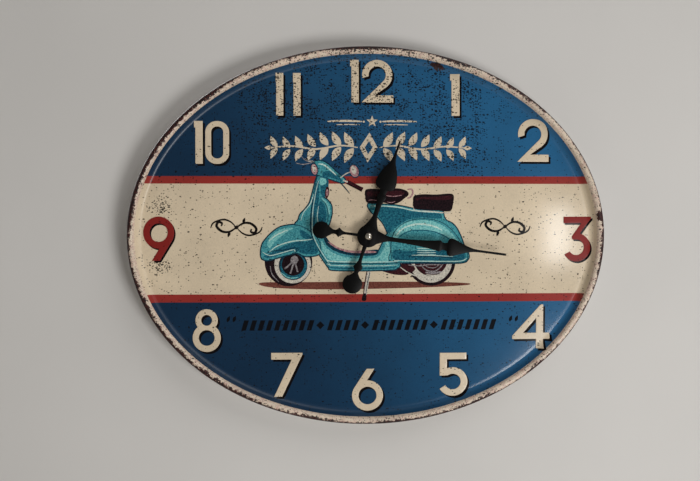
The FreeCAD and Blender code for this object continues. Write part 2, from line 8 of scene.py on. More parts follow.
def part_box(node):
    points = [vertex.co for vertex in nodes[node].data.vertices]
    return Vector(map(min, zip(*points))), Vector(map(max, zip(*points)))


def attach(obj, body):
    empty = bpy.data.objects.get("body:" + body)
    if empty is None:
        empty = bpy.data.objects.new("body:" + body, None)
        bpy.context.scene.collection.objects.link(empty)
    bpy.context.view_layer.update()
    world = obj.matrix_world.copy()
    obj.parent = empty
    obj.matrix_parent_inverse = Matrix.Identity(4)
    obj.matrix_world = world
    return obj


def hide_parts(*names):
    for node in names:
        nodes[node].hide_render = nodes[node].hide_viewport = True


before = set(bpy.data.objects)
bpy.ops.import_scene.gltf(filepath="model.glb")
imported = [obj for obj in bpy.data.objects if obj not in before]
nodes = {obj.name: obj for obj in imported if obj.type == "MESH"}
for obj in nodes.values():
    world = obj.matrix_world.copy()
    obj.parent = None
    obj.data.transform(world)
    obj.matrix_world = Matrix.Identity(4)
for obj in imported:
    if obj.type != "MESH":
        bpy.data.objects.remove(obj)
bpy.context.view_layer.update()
scene = bpy.context.scene
print("frame loaded")


def hexColour(code):
    # sRGB hex to linear
    parts = [int(code[i:i + 2], 16) / 255 for i in (1, 3, 5)]
    return [c / 12.92 if c <= 0.04045 else ((c + 0.055) / 1.055) ** 2.4 for c in parts] + [1.0]


def addNode(tree, kind, inputs=None, links=None, **settings):
    node = tree.nodes.new("ShaderNode" + kind)
    for key, value in settings.items():
        setattr(node, key, value)
    for key, value in (inputs or {}).items():
        node.inputs[key].default_value = value
    for key, source in (links or {}).items():
        tree.links.new(source, node.inputs[key])
    return node


def newMaterial(name, roughness, metallic=0.0):
    mat = bpy.data.materials.new(name)
    mat.use_nodes = True
    shader = mat.node_tree.nodes["Principled BSDF"]
    shader.inputs["Roughness"].default_value = roughness
    shader.inputs["Metallic"].default_value = metallic
    if metallic == 0.0:
        shader.inputs["IOR"].default_value = 1.5
    return mat, mat.node_tree, shader


def millimetres(tree, stretch=(1, 1, 1)):
    # object coordinates in millimetres, so a texture scale of 1 repeats about once a millimetre
    place = addNode(tree, "TexCoord").outputs["Object"]
    return addNode(tree, "Mapping", {"Scale": [1000 * s for s in stretch]}, {"Vector": place}).outputs[0]


def arcPoints(x, y, radius, start, end, count=24):
    turns = [math.radians(start + (end - start) * k / count) for k in range(count + 1)]
    return [(x + radius * math.cos(a), y + radius * math.sin(a)) for a in turns]


def easyLine(points, steps=6):
    # a smooth line through a few points
    line = []
    ends = [points[0]] + list(points) + [points[-1]]
    for a, b, c, d in zip(ends, ends[1:], ends[2:], ends[3:]):
        for k in range(steps):
            t = k / steps
            line.append(tuple(0.5 * (2 * q + (r - p) * t + (2 * p - 5 * q + 4 * r - s) * t * t
                                     + (3 * q - p - 3 * r + s) * t ** 3) for p, q, r, s in zip(a, b, c, d)))
    return line + [tuple(points[-1])]


def easyLoop(points, steps=6):
    closed = [points[-1]] + list(points) + [points[0], points[1]]
    return easyLine(closed, steps)[steps:-steps - 1]


def flatMesh(loops, thick, rounding=0.0, grow=0.0):
    # a filled outline in millimetres, thickened both ways, with rounded edges
    curve = bpy.data.curves.new("outline", "CURVE")
    curve.dimensions = "2D"
    curve.fill_mode = "BOTH"
    curve.extrude = max(thick / 2 - rounding, 0.0001)
    curve.bevel_depth = rounding
    curve.bevel_resolution = 2
    curve.offset = grow - rounding
    for loop in loops:
        spline = curve.splines.new("POLY")
        spline.points.add(len(loop) - 1)
        for point, (x, y) in zip(spline.points, loop):
            point.co = (x, y, 0, 1)
        spline.use_cyclic_u = True
    holder = bpy.data.objects.new("outline", curve)
    mesh = bpy.data.meshes.new_from_object(holder)
    bpy.data.objects.remove(holder)
    return mesh


def finish(name, bm, materials, body, replaced=(), sharp=30):
    mesh = bpy.data.meshes.new(name)
    bm.to_mesh(mesh)
    bm.free()
    for mat in materials if isinstance(materials, (list, tuple)) else [materials]:
        mesh.materials.append(mat)
    mesh.shade_smooth()
    mesh.set_sharp_from_angle(angle=math.radians(sharp))
    obj = bpy.data.objects.new(name, mesh)
    scene.collection.objects.link(obj)
    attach(obj, body)
    if replaced:
        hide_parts(*replaced)
    return obj


# the pressed dial: an oval dome in a shallow dish, with a wall round it and a rolled rim
dial = {
    "halfWidth": 190.6, "halfHeight": 148.6,      # the crease round the dial, mm
    "tin": 0.5, "hole": 4.1, "flatIn": 3.0,      # the dome ends this far inside the crease
    "domeX": 192.6, "domeZ": 150.6, "domeFront": 17.5, "domeRadius": 30.0, "domeShare": 0.19,
    "rimRadius": 3.0, "rimOut": 6.4, "rimDepth": 19.0, "wallTop": 147.6, "curlEnd": -150,
    "ripple": 0.10, "rippleLength": 52.0,         # pressed tin is never quite true
    "around": 320, "backAcross": 30,
    "printSunk": 0.06,                            # how far the back of a print sits inside the tin
}


def dialDepth(x, z):
    # how far the printed face stands off the wall, mm
    spread = (x / dial["domeX"]) ** 2 + (z / dial["domeZ"]) ** 2
    depth = dial["domeFront"] - dial["domeRadius"] * (1 - math.sqrt(max(1 - dial["domeShare"] * spread,
                                                                        0.2)))
    fade = min(max((spread - 0.01) / 0.05, 0), 1) * min(max((0.97 - spread) / 0.15, 0), 1)
    wave = noise.noise(Vector((x / dial["rippleLength"], 3.7, z / dial["rippleLength"])))
    return depth + fade * dial["ripple"] * wave


def rimProfile():
    # (outwards, depth) along the tin from the crease up the wall and round the rolled rim
    r, u, v = dial["rimRadius"], dial["rimOut"], dial["rimDepth"]
    front = easyLine([(-3.0, 14.66), (-2.0, 14.7), (-1.0, 14.95), (0.0, 15.5), (0.9, 16.3), (1.7, 17.3)], 3)
    top = (u + r * math.cos(math.radians(dial["wallTop"])), v + r * math.sin(math.radians(dial["wallTop"])))
    front += [(1.7 + (top[0] - 1.7) * k, 17.3 + (top[1] - 17.3) * k) for k in (0.33, 0.67)]
    front += arcPoints(u, v, r, dial["wallTop"], dial["curlEnd"], 30)
    inside = r - dial["tin"]
    back = arcPoints(u, v, inside, dial["curlEnd"], dial["wallTop"], 20)
    back += [(2.9, 18.2), (1.3, 15.55), (0.75, 14.75), (0.0, 14.4), (-1.2, 14.2), (-3.0, 14.16)]
    return front, back


rimFront, rimBack = rimProfile()


def faceDepth(x, z):
    # depth of the printed face anywhere, the crease and the wall round it included
    a, b = dial["halfWidth"], dial["halfHeight"]
    share = math.hypot(x / a, z / b)
    out = (share - 1) * share / max(math.hypot(x / a / a, z / b / b), 1e-6)
    if out <= rimFront[0][0]:
        return dialDepth(x, z)
    for (u0, v0), (u1, v1) in zip(rimFront, rimFront[1:]):
        if out <= u1:
            return v0 + (v1 - v0) * (out - u0) / max(u1 - u0, 1e-6)
    return rimFront[-1][1]


def dialPlate(printMaterial, tinMaterial):
    bm = bmesh.new()
    turn = bm.verts.layers.float.new("turn")
    across = bm.verts.layers.float.new("across")
    bmesh.ops.create_circle(bm, cap_ends=False, radius=1, segments=dial["around"])
    for v in bm.verts:
        v[turn] = math.atan2(v.co.y, v.co.x)
    firstRing = list(bm.edges)

    def placeDome(verts, share, back):
        for v in verts:
            hole, wide, tall = dial["hole"], dial["halfWidth"], dial["halfHeight"]
            x = (hole + (wide - dial["flatIn"] - hole) * share) * math.cos(v[turn])
            z = (hole + (tall - dial["flatIn"] - hole) * share) * math.sin(v[turn])
            v.co = (x, -dialDepth(x, z) + back, z)
            v[across] = -dial["flatIn"] - 100 * (1 - share)

    def placeRim(verts, out, depth, length):
        for v in verts:
            a, b = dial["halfWidth"], dial["halfHeight"]
            nx, nz = b * math.cos(v[turn]), a * math.sin(v[turn])
            size = math.hypot(nx, nz)
            x, z = a * math.cos(v[turn]) + out * nx / size, b * math.sin(v[turn]) + out * nz / size
            v.co = (x, -depth, z)
            v[across] = length

    def nextRing(ring):
        made = bmesh.ops.extrude_edge_only(bm, edges=ring)["geom"]
        return ([g for g in made if isinstance(g, bmesh.types.BMVert)],
                [g for g in made if isinstance(g, bmesh.types.BMEdge) and g.is_boundary])

    shares = [0.0] + [0.012 * 1.28 ** k for k in range(0, 12)] + [0.27 + 0.055 * k for k in range(0, 14)]
    shares = sorted(s for s in shares if s < 1.0)
    placeDome(bm.verts, 0.0, 0.0)
    ring = firstRing
    for share in shares[1:] + [1.0]:
        verts, ring = nextRing(ring)
        placeDome(verts, share, 0.0)
    front, back = rimFront, rimBack
    length = -dial["flatIn"]
    last = front[0]
    for point in front[1:]:
        length += math.dist(last, point)
        last = point
        verts, ring = nextRing(ring)
        placeRim(verts, point[0], point[1], length)
    printed = set(bm.faces)
    for point in back:
        verts, ring = nextRing(ring)
        placeRim(verts, point[0], point[1], dial["backAcross"])
    for share in [0.93, 0.8, 0.62, 0.42, 0.22, 0.08, 0.02, 0.0]:
        verts, ring = nextRing(ring)
        placeDome(verts, share, dial["tin"])
    bmesh.ops.bridge_loops(bm, edges=[e for e in firstRing if e.is_valid] + ring)
    for face in bm.faces:
        face.material_index = 0 if face in printed else 1
    bmesh.ops.recalc_face_normals(bm, faces=bm.faces)
    bmesh.ops.scale(bm, verts=bm.verts, vec=(0.001, 0.001, 0.001))
    return finish("dialPlate", bm, [printMaterial, tinMaterial], "clock", ["dial_plate"], 40)


def printShapes(name, shapes, material, cell=10.0):
    # flat shapes printed on the dial: each is (loops, height of its face), perhaps with rounding and growth
    bm = bmesh.new()
    for loops, height, *more in shapes:
        mesh = flatMesh(loops, height + dial["printSunk"], *more)
        part = bmesh.new()
        part.from_mesh(mesh)
        bpy.data.meshes.remove(mesh)
        bmesh.ops.remove_doubles(part, verts=part.verts, dist=0.0005)
        for axis, normal in ((0, (1, 0, 0)), (1, (0, 1, 0))):
            low = min(v.co[axis] for v in part.verts)
            high = max(v.co[axis] for v in part.verts)
            for k in range(math.ceil(low / cell), math.floor(high / cell) + 1):
                spot = [0, 0, 0]
                spot[axis] = k * cell
                bmesh.ops.bisect_plane(part, geom=part.verts[:] + part.edges[:] + part.faces[:],
                                       plane_co=spot, plane_no=normal, dist=0.0005)
        # the middle of the sheet's thickness sits so that its back is just inside the tin
        for v in part.verts:
            x, y, out = v.co
            depth = faceDepth(x, y) + (height - dial["printSunk"]) / 2 + out
            v.co = (x / 1000, -depth / 1000, y / 1000)
        joined = bpy.data.meshes.new("part")
        part.to_mesh(joined)
        part.free()
        bm.from_mesh(joined)
        bpy.data.meshes.remove(joined)
    return finish(name, bm, material, "clock", (), 35)


# inks laid by offset lithography under a clear gloss lacquer, printed to look worn
inks = {
    # the two blues are one ink: painted shade darkens it at the left, and painted light makes it paler
    # towards the upper right
    "blueShadedSide": "#0c2d48", "blueLitSide": "#24608a", "blueLow": -55.4, "blueHigh": 50.0,
    "creamLow": -49.9, "creamHigh": 43.1,
    "cream": "#dac8ac", "red": "#96302a", "rim": "#dccbb6", "rimPink": "#c7a597",
    # the darkest corrosion colour is near-black and also stands for painted shade on the rim's outer edge
    "rustAndShadeDark": "#070303", "rustRed": "#4a1813", "fleck": "#060609",
}

# where flecks gather, mm; each layer is its pitch, the size of a fleck in its cell, and its share
flecks = {
    "low": 44, "full": 62, "wide": 134, "narrow": 84,
    "clusters": ((-172, -15, 25), (-172, -15, -26)), "reach": 12, "core": 3, "crowded": 1.7,
    "layers": ((1.25, 0.34, 1.0), (2.1, 0.30, 0.5)), "drawnOut": 0.62, "ragged": 1.1,
    "outside": 0.2, "densest": 0.8, "everywhere": 0.012,
}


def fleckMask(tree, place):
    # small dark flecks, about a millimetre, drawn out sideways and gathered in patches
    split = addNode(tree, "SeparateXYZ", links={0: place})
    x, z = split.outputs["X"], split.outputs["Z"]
    absX = addNode(tree, "Math", links={0: x}, operation="ABSOLUTE").outputs[0]
    upper = addNode(tree, "MapRange", {"From Min": flecks["low"], "From Max": flecks["full"]}, {"Value": z},
                    interpolation_type="SMOOTHSTEP").outputs[0]
    middle = addNode(tree, "MapRange", {"From Min": flecks["wide"], "From Max": flecks["narrow"]},
                     {"Value": absX}, interpolation_type="SMOOTHSTEP").outputs[0]
    zone = addNode(tree, "Math", links={0: upper, 1: middle}, operation="MULTIPLY").outputs[0]
    for spot in flecks["clusters"]:
        near = addNode(tree, "VectorMath", {1: spot}, {0: place}, operation="SUBTRACT").outputs[0]
        near = addNode(tree, "VectorMath", {1: (0.75, 0.3, 1.25)}, {0: near},
                       operation="MULTIPLY").outputs[0]
        near = addNode(tree, "VectorMath", links={0: near}, operation="LENGTH").outputs["Value"]
        near = addNode(tree, "MapRange", {"From Min": flecks["reach"], "From Max": flecks["core"],
                                          "To Max": flecks["crowded"]},
                       {"Value": near}, interpolation_type="SMOOTHSTEP").outputs[0]
        zone = addNode(tree, "Math", links={0: zone, 1: near}, operation="MAXIMUM").outputs[0]
    patches = addNode(tree, "TexNoise", {"Scale": 0.062, "Detail": 3.0, "Roughness": 0.6},
                      {"Vector": place}).outputs["Fac"]
    patches = addNode(tree, "MapRange", {"From Min": 0.36, "From Max": 0.58}, {"Value": patches},
                      interpolation_type="SMOOTHSTEP").outputs[0]
    lot = addNode(tree, "MapRange", {"To Min": flecks["outside"]}, {"Value": zone}).outputs[0]
    amount = addNode(tree, "Math", links={0: patches, 1: lot}, operation="MULTIPLY").outputs[0]
    amount = addNode(tree, "Math", {1: flecks["densest"], 2: flecks["everywhere"]}, {0: amount},
                     operation="MULTIPLY_ADD").outputs[0]
    cluster = addNode(tree, "MapRange", {"From Min": 1.0, "From Max": 1.6, "To Max": 0.8},
                      {"Value": zone}).outputs[0]
    amount = addNode(tree, "Math", links={0: amount, 1: cluster}, operation="ADD").outputs[0]
    ragged = addNode(tree, "TexNoise", {"Scale": 1.4, "Detail": 2.0}, {"Vector": place}).outputs["Color"]
    ragged = addNode(tree, "VectorMath", {1: [flecks["ragged"]] * 3}, {0: ragged},
                     operation="MULTIPLY").outputs[0]
    moved = addNode(tree, "VectorMath", links={0: place, 1: ragged}, operation="ADD").outputs[0]
    flat = addNode(tree, "SeparateXYZ", links={0: moved})
    flat = addNode(tree, "CombineXYZ", links={0: flat.outputs["X"], 1: flat.outputs["Z"]}).outputs[0]
    scale = addNode(tree, "MapRange", {"To Min": 0.74}, {"Value": zone}).outputs[0]
    found = None
    for pitch, size, share in flecks["layers"]:
        drawn = addNode(tree, "VectorMath", {1: (flecks["drawnOut"] / pitch, 1 / pitch, 1)}, {0: flat},
                        operation="MULTIPLY").outputs[0]
        cells = addNode(tree, "TexVoronoi", {"Scale": 1.0}, {"Vector": drawn}, voronoi_dimensions="2D")
        pick = addNode(tree, "SeparateColor", links={0: cells.outputs["Color"]})
        small = addNode(tree, "Math", {1: size, 2: 0.09}, {0: pick.outputs[1]},
                        operation="MULTIPLY_ADD").outputs[0]
        small = addNode(tree, "Math", links={0: small, 1: scale}, operation="MULTIPLY").outputs[0]
        inside = addNode(tree, "Math", links={0: cells.outputs["Distance"], 1: small},
                         operation="LESS_THAN").outputs[0]
        lot = addNode(tree, "Math", {1: share}, {0: amount}, operation="MULTIPLY").outputs[0]
        chosen = addNode(tree, "Math", links={0: pick.outputs[0], 1: lot}, operation="LESS_THAN").outputs[0]
        both = addNode(tree, "Math", links={0: inside, 1: chosen}, operation="MULTIPLY").outputs[0]
        found = both if found is None else addNode(tree, "Math", links={0: found, 1: both},
                                                   operation="MAXIMUM").outputs[0]
    return found


def lacquerOver(tree, shader, place, colour, strength=0.92, glossMap=None):
    # tone varies gently over the sheet, then flecks, then the gloss coat over everything
    cloud = addNode(tree, "TexNoise", {"Scale": 0.022, "Detail": 4.0}, {"Vector": place}).outputs["Fac"]
    grain = addNode(tree, "TexNoise", {"Scale": 0.9, "Detail": 2.0}, {"Vector": place}).outputs["Fac"]
    tone = addNode(tree, "MapRange", {"From Min": 0.3, "From Max": 0.7, "To Min": 0.88, "To Max": 1.08},
                   {"Value": cloud}).outputs[0]
    fine = addNode(tree, "MapRange", {"From Min": 0.3, "From Max": 0.7, "To Min": 0.94, "To Max": 1.05},
                   {"Value": grain}).outputs[0]
    tone = addNode(tree, "Math", links={0: tone, 1: fine}, operation="MULTIPLY").outputs[0]
    toned = addNode(tree, "VectorMath", links={0: colour, "Scale": tone}, operation="SCALE").outputs[0]
    mask = fleckMask(tree, place)
    amount = addNode(tree, "Math", {1: strength}, {0: mask}, operation="MULTIPLY").outputs[0]
    mixed = addNode(tree, "Mix", {"B": hexColour(inks["fleck"])}, {"Factor": amount, "A": toned},
                    data_type="RGBA")
    tree.links.new(mixed.outputs["Result"], shader.inputs["Base Color"])
    peel = addNode(tree, "TexNoise", {"Scale": 0.55, "Detail": 2.0}, {"Vector": place}).outputs["Fac"]
    bump = addNode(tree, "Bump", {"Strength": 0.05, "Distance": 0.0002}, {"Height": peel})
    tree.links.new(bump.outputs[0], shader.inputs["Normal"])
    shader.inputs["Specular IOR Level"].default_value = 0.4 if strength > 0.8 else 0.2
    if glossMap is None:
        gloss = addNode(tree, "MapRange", {"From Min": 0.3, "From Max": 0.7, "To Min": 0.10,
                                           "To Max": 0.17},
                        {"Value": cloud})
        glossMap = gloss.outputs[0]
    tree.links.new(glossMap, shader.inputs["Roughness"])


def inkMaterial(name, code, strength=0.92, mottle=None, gloss=None):
    # one ink on the tin: an even film, glossy from the lacquer over it
    mat, tree, shader = newMaterial(name, 0.42)
    place = millimetres(tree)
    if mottle:
        spots = addNode(tree, "TexNoise", {"Scale": 0.75, "Detail": 4.0, "Roughness": 0.7},
                        {"Vector": place})
        ramp = addNode(tree, "ValToRGB", links={0: spots.outputs["Fac"]})
        ramp.color_ramp.elements[0].position = 0.36
        ramp.color_ramp.elements[0].color = hexColour(mottle[0])
        ramp.color_ramp.elements[1].position = 0.62
        ramp.color_ramp.elements[1].color = hexColour(mottle[1])
        middle = ramp.color_ramp.elements.new(0.5)
        middle.color = hexColour(code)
        colour = ramp.outputs[0]
    else:
        colour = addNode(tree, "RGB").outputs[0]
        colour.default_value = hexColour(code)
    glossMap = None
    if gloss:
        scuff = addNode(tree, "TexNoise", {"Scale": 0.3, "Detail": 3.0}, {"Vector": place}).outputs["Fac"]
        glossMap = addNode(tree, "MapRange", {"To Min": gloss - 0.05, "To Max": gloss + 0.05},
                           {"Value": scuff}).outputs[0]
    lacquerOver(tree, shader, place, colour, strength, glossMap)
    return mat


# wear and painted shade on the rim, mm along the tin from the crease; blotches of corrosion are (place,
# size); the outer edge is darkened all round and more at the left, partly painted shade
wear = {
    "rimStart": 5.3, "usual": 12.3, "least": 12.6, "bareAndShadedEdge": 12.1, "chip": 0.615,
    "leftEnd": -120, "leftStart": 60, "leftMore": 1.3, "shake": 7.0,
    "blotches": (((197.5, -21, 17), 4.6), ((57.5, -16, 143.5), 4.2), ((61.5, -15.5, 141.8), 2.6)),
}


def dialPrint():
    # the whole sheet: blue above and below, cream between, two red stripes, cream rim with rusty chips
    mat, tree, shader = newMaterial("lithographedTin", 0.42)
    place = millimetres(tree)
    split = addNode(tree, "SeparateXYZ", links={0: place})
    sideways, high = split.outputs["X"], split.outputs["Z"]
    half = 160
    share = addNode(tree, "MapRange", {"From Min": -half, "From Max": half}, {"Value": high}).outputs[0]
    bands = addNode(tree, "ValToRGB", links={0: share})
    ramp = bands.color_ramp
    ramp.interpolation = "CONSTANT"
    ramp.elements[1].position = 0.999
    ramp.elements[0].color = hexColour(inks["red"])
    for level, ink in ((inks["creamLow"], "cream"), (inks["creamHigh"], "red")):
        stop = ramp.elements.new((level + half) / (2 * half))
        stop.color = hexColour(inks[ink])
    # the blue is painted darker at the left and paler towards the upper right: painted shade and painted
    # light, following the lamps at the right
    lean = addNode(tree, "VectorMath", {1: (1, 0, 0.38)}, {0: place},
                   operation="DOT_PRODUCT").outputs["Value"]
    litShare = addNode(tree, "MapRange", {"From Min": -130, "From Max": 185}, {"Value": lean},
                    interpolation_type="SMOOTHSTEP").outputs[0]
    blueInk = addNode(tree, "Mix", {"A": hexColour(inks["blueShadedSide"]), "B": hexColour(inks["blueLitSide"])},
                      {"Factor": litShare}, data_type="RGBA").outputs["Result"]
    onBlue = addNode(tree, "Math", {1: inks["blueLow"]}, {0: high}, operation="LESS_THAN").outputs[0]
    above = addNode(tree, "Math", {1: inks["blueHigh"]}, {0: high}, operation="GREATER_THAN").outputs[0]
    onBlue = addNode(tree, "Math", links={0: onBlue, 1: above}, operation="MAXIMUM").outputs[0]
    sheet = addNode(tree, "Mix", links={"Factor": onBlue, "A": bands.outputs[0], "B": blueInk},
                    data_type="RGBA").outputs["Result"]
    # the rim: cream, pinkish in places
    blotch = addNode(tree, "TexNoise", {"Scale": 0.35, "Detail": 5.0, "Roughness": 0.7}, {"Vector": place})
    blotch = addNode(tree, "MapRange", {"From Min": 0.45, "From Max": 0.66},
                     {"Value": blotch.outputs["Fac"]})
    rimInk = addNode(tree, "Mix", {"A": hexColour(inks["rim"]), "B": hexColour(inks["rimPink"])},
                     {"Factor": blotch.outputs[0]}, data_type="RGBA")
    across = addNode(tree, "Attribute", attribute_name="across").outputs["Fac"]
    onRim = addNode(tree, "Math", {1: wear["rimStart"]}, {0: across}, operation="GREATER_THAN").outputs[0]
    colour = addNode(tree, "Mix", links={"Factor": onRim, "A": sheet, "B": rimInk.outputs["Result"]},
                     data_type="RGBA").outputs["Result"]
    # corrosion eats in from the outer edge, deeper in some stretches than in others and deeper at the left,
    # where the dark edge is partly painted shade
    stretch = addNode(tree, "TexNoise", {"Scale": 0.03, "Detail": 2.0}, {"Vector": place}).outputs["Fac"]
    bite = addNode(tree, "TexNoise", {"Scale": 0.48, "Detail": 5.0, "Roughness": 0.75},
                   {"Vector": place}).outputs["Fac"]
    depth = addNode(tree, "MapRange", {"From Min": 0.38, "From Max": 0.62, "To Min": -0.3, "To Max": 1.9},
                    {"Value": stretch}).outputs[0]
    edge = addNode(tree, "MapRange", {"From Min": 0.35, "From Max": 0.68, "To Min": -1.2, "To Max": 3.0},
                   {"Value": bite}).outputs[0]
    reach = addNode(tree, "Math", links={0: depth, 1: edge}, operation="ADD").outputs[0]
    # more darkening at the left: corrosion, and painted shade on the side turned away from the lamp
    side = addNode(tree, "MapRange", {"From Min": wear["leftEnd"], "From Max": wear["leftStart"],
                                      "To Min": wear["leftMore"], "To Max": 0.0},
                                      {"Value": sideways}).outputs[0]
    reach = addNode(tree, "Math", links={0: reach, 1: side}, operation="ADD").outputs[0]
    limit = addNode(tree, "Math", {0: wear["usual"]}, {1: reach}, operation="SUBTRACT").outputs[0]
    limit = addNode(tree, "Math", {1: wear["least"]}, {0: limit}, operation="MINIMUM").outputs[0]
    rustAndShadeMask = addNode(tree, "Math", links={0: across, 1: limit}, operation="GREATER_THAN").outputs[0]
    chips = addNode(tree, "TexNoise", {"Scale": 0.85, "Detail": 3.0, "Roughness": 0.7},
                    {"Vector": place}).outputs["Fac"]
    chips = addNode(tree, "Math", {1: wear["chip"]}, {0: chips}, operation="GREATER_THAN").outputs[0]
    chips = addNode(tree, "Math", links={0: chips, 1: onRim}, operation="MULTIPLY").outputs[0]
    rustAndShadeMask = addNode(tree, "Math", links={0: rustAndShadeMask, 1: chips}, operation="MAXIMUM").outputs[0]
    rustAndShadeMask = addNode(tree, "Math", links={0: rustAndShadeMask, 1: onRim}, operation="MULTIPLY").outputs[0]
    shake = addNode(tree, "TexNoise", {"Scale": 0.4, "Detail": 3.0}, {"Vector": place}).outputs["Color"]
    shake = addNode(tree, "VectorMath", {1: [wear["shake"]] * 3}, {0: shake},
                    operation="MULTIPLY").outputs[0]
    there = addNode(tree, "VectorMath", links={0: place, 1: shake}, operation="ADD").outputs[0]
    for spot, size in wear["blotches"]:
        middle = [c + wear["shake"] / 2 for c in spot]
        near = addNode(tree, "VectorMath", {1: middle}, {0: there}, operation="DISTANCE")
        near = addNode(tree, "Math", {1: size}, {0: near.outputs["Value"]},
                       operation="LESS_THAN").outputs[0]
        rustAndShadeMask = addNode(tree, "Math", links={0: rustAndShadeMask, 1: near}, operation="MAXIMUM").outputs[0]
    # the outermost turn of the rim is dark all the way round: ink lost to corrosion, and painted shade on
    # the edge that turns away from the light
    turned = addNode(tree, "Math", {1: wear["bareAndShadedEdge"]}, {0: across}, operation="GREATER_THAN").outputs[0]
    rustAndShadeMask = addNode(tree, "Math", links={0: rustAndShadeMask, 1: turned}, operation="MAXIMUM").outputs[0]
    rustTone = addNode(tree, "TexNoise", {"Scale": 0.8, "Detail": 4.0}, {"Vector": place}).outputs["Fac"]
    rustTone = addNode(tree, "MapRange", {"From Min": 0.4, "From Max": 0.66},
                       {"Value": rustTone}).outputs[0]
    rustAndShadeInk = addNode(tree, "Mix", {"A": hexColour(inks["rustAndShadeDark"]), "B": hexColour(inks["rustRed"])},
                   {"Factor": rustTone}, data_type="RGBA").outputs["Result"]
    colour = addNode(tree, "Mix", links={"Factor": rustAndShadeMask, "A": colour, "B": rustAndShadeInk},
                     data_type="RGBA").outputs["Result"]
    # gloss: shiny in the middle, scuffed on the crease, the wall and the rim, dull where it has rusted
    scuffed = addNode(tree, "MapRange", {"From Min": -5, "From Max": 0, "To Min": 0.11, "To Max": 0.34},
                      {"Value": across}, interpolation_type="SMOOTHSTEP").outputs[0]
    dull = addNode(tree, "Mix", {"B": 0.6}, {"Factor": rustAndShadeMask, "A": scuffed}).outputs["Result"]
    lacquerOver(tree, shader, place, colour, 0.92, dull)
    return mat


def bareTin():
    # tinplate left unprinted on the back: grey, rolled one way, dulled by handling
    mat, tree, shader = newMaterial("tinplate", 0.42, 1.0)
    place = millimetres(tree, (0.06, 1, 1.2))
    rolled = addNode(tree, "TexNoise", {"Scale": 1.0, "Detail": 5.0}, {"Vector": place}).outputs["Fac"]
    dull = addNode(tree, "TexNoise", {"Scale": 0.03, "Detail": 4.0},
                   {"Vector": millimetres(tree)}).outputs["Fac"]
    tint = addNode(tree, "Mix", {"A": hexColour("#8f9092"), "B": hexColour("#b3b0a8")}, {"Factor": dull},
                   data_type="RGBA")
    tree.links.new(tint.outputs["Result"], shader.inputs["Base Color"])
    gloss = addNode(tree, "MapRange", {"To Min": 0.34, "To Max": 0.58}, {"Value": rolled})
    tree.links.new(gloss.outputs[0], shader.inputs["Roughness"])
    return mat


printedSheet = dialPrint()
dialPlate(printedSheet, bareTin())
print("dial plate pressed")


numeral = {"stroke": 5.5, "raised": 0.35, "rounding": 0.12,
           "shadow": (1.7, -1.8), "redShadow": (1.2, -1.4), "cell": 2.4}


def roundedBox(x0, y0, x1, y1, r):
    return (arcPoints(x1 - r, y1 - r, r, 90, 0, 10) + arcPoints(x1 - r, y0 + r, r, 0, -90, 10)
            + arcPoints(x0 + r, y0 + r, r, -90, -180, 10) + arcPoints(x0 + r, y1 - r, r, 180, 90, 10))


def digitLoops(digit):
    t = numeral["stroke"]
    if digit == "0":
        return [roundedBox(0, 0, 19.8, 36.2, 9.4), roundedBox(4.9, 4.6, 14.9, 31.6, 4.8)]
    if digit == "1":
        return [[(1.1, 0), (7.2, 0), (7.2, 35.6), (0, 35.6), (0, 30.2), (1.1, 30.2)]]
    if digit == "|":
        return [[(0.4, 0), (6.4, 0), (6.4, 35.6), (0, 35.6), (0, 28), (0.4, 28)]]
    if digit == "2":
        r = 12.7
        return [arcPoints(13.3, 23.0, r, 192, -55, 36) + [(10.9, 6.0), (26.8, 6.0), (26.8, 0), (0, 0)]
                + arcPoints(13.3, 23.0, r - t, -46, 188, 30)]
    if digit == "3":
        return [[(0.8, 38), (24.6, 38), (24.6, 36.4), (15.0, 23.6)] + arcPoints(12.2, 12.1, 12.1, 76, -150,
                                                                                36)
                + arcPoints(12.2, 12.1, 12.1 - t, -148, 90, 30) + [(8.6, 18.8), (8.2, 21.4), (16.4, 32.6),
                                                                   (0.8, 32.6)]]
    if digit == "4":
        return [[(20, 0), (26, 0), (26, 7.8), (31.4, 7.8), (31.4, 13), (26, 13), (26, 36.6), (23.8, 36.6),
                 (0, 10.6), (0, 7.8), (20, 7.8)], [(9.2, 13), (20, 13), (20, 25.4)]]
    if digit == "5":
        return [[(2.4, 36.4), (24, 36.4), (24, 30.9), (8.2, 30.9), (8.2, 23.4)]
                + arcPoints(12.9, 12.1, 12.1, 108, -150, 36) + arcPoints(12.9, 12.1, 12.1 - t, -152, 126,
                                                                         28)
                + [(7.2, 17.2), (2.4, 17.2)]]
    if digit == "6":
        r = 13.1
        return [[(12.4, 36.2), (19.0, 36.2)] + arcPoints(13.2, 13.1, r, 92, -212, 60),
                arcPoints(13.2, 13.1, r - t, 0, 354, 48)]
    if digit == "7":
        return [[(0, 37.2), (26.2, 37.2), (26.2, 35.8), (9.2, 0), (2.4, 0), (17.2, 31.5), (0, 31.5)]]
    if digit == "8":
        low, high = (12.1, 12.0), (12.1, 27.0)
        rise = ((12.0 ** 2 - 9.5 ** 2 + 15.0 ** 2) / 30.0)
        half = math.sqrt(12.0 ** 2 - rise ** 2)
        a = math.degrees(math.atan2(rise, half))
        b = math.degrees(math.atan2(low[1] + rise - high[1], half))
        return [arcPoints(*high, 9.5, 180 - b, b, 36) + arcPoints(*low, 12.0, a, -180 - a, 50),
                arcPoints(*high, 9.5 - t + 0.6, 0, 354, 36), arcPoints(*low, 12.0 - t + 0.2, 0, 354, 40)]
    turned = digitLoops("6")
    return [[(26.3 - x, 36.9 - y) for x, y in loop] for loop in turned]


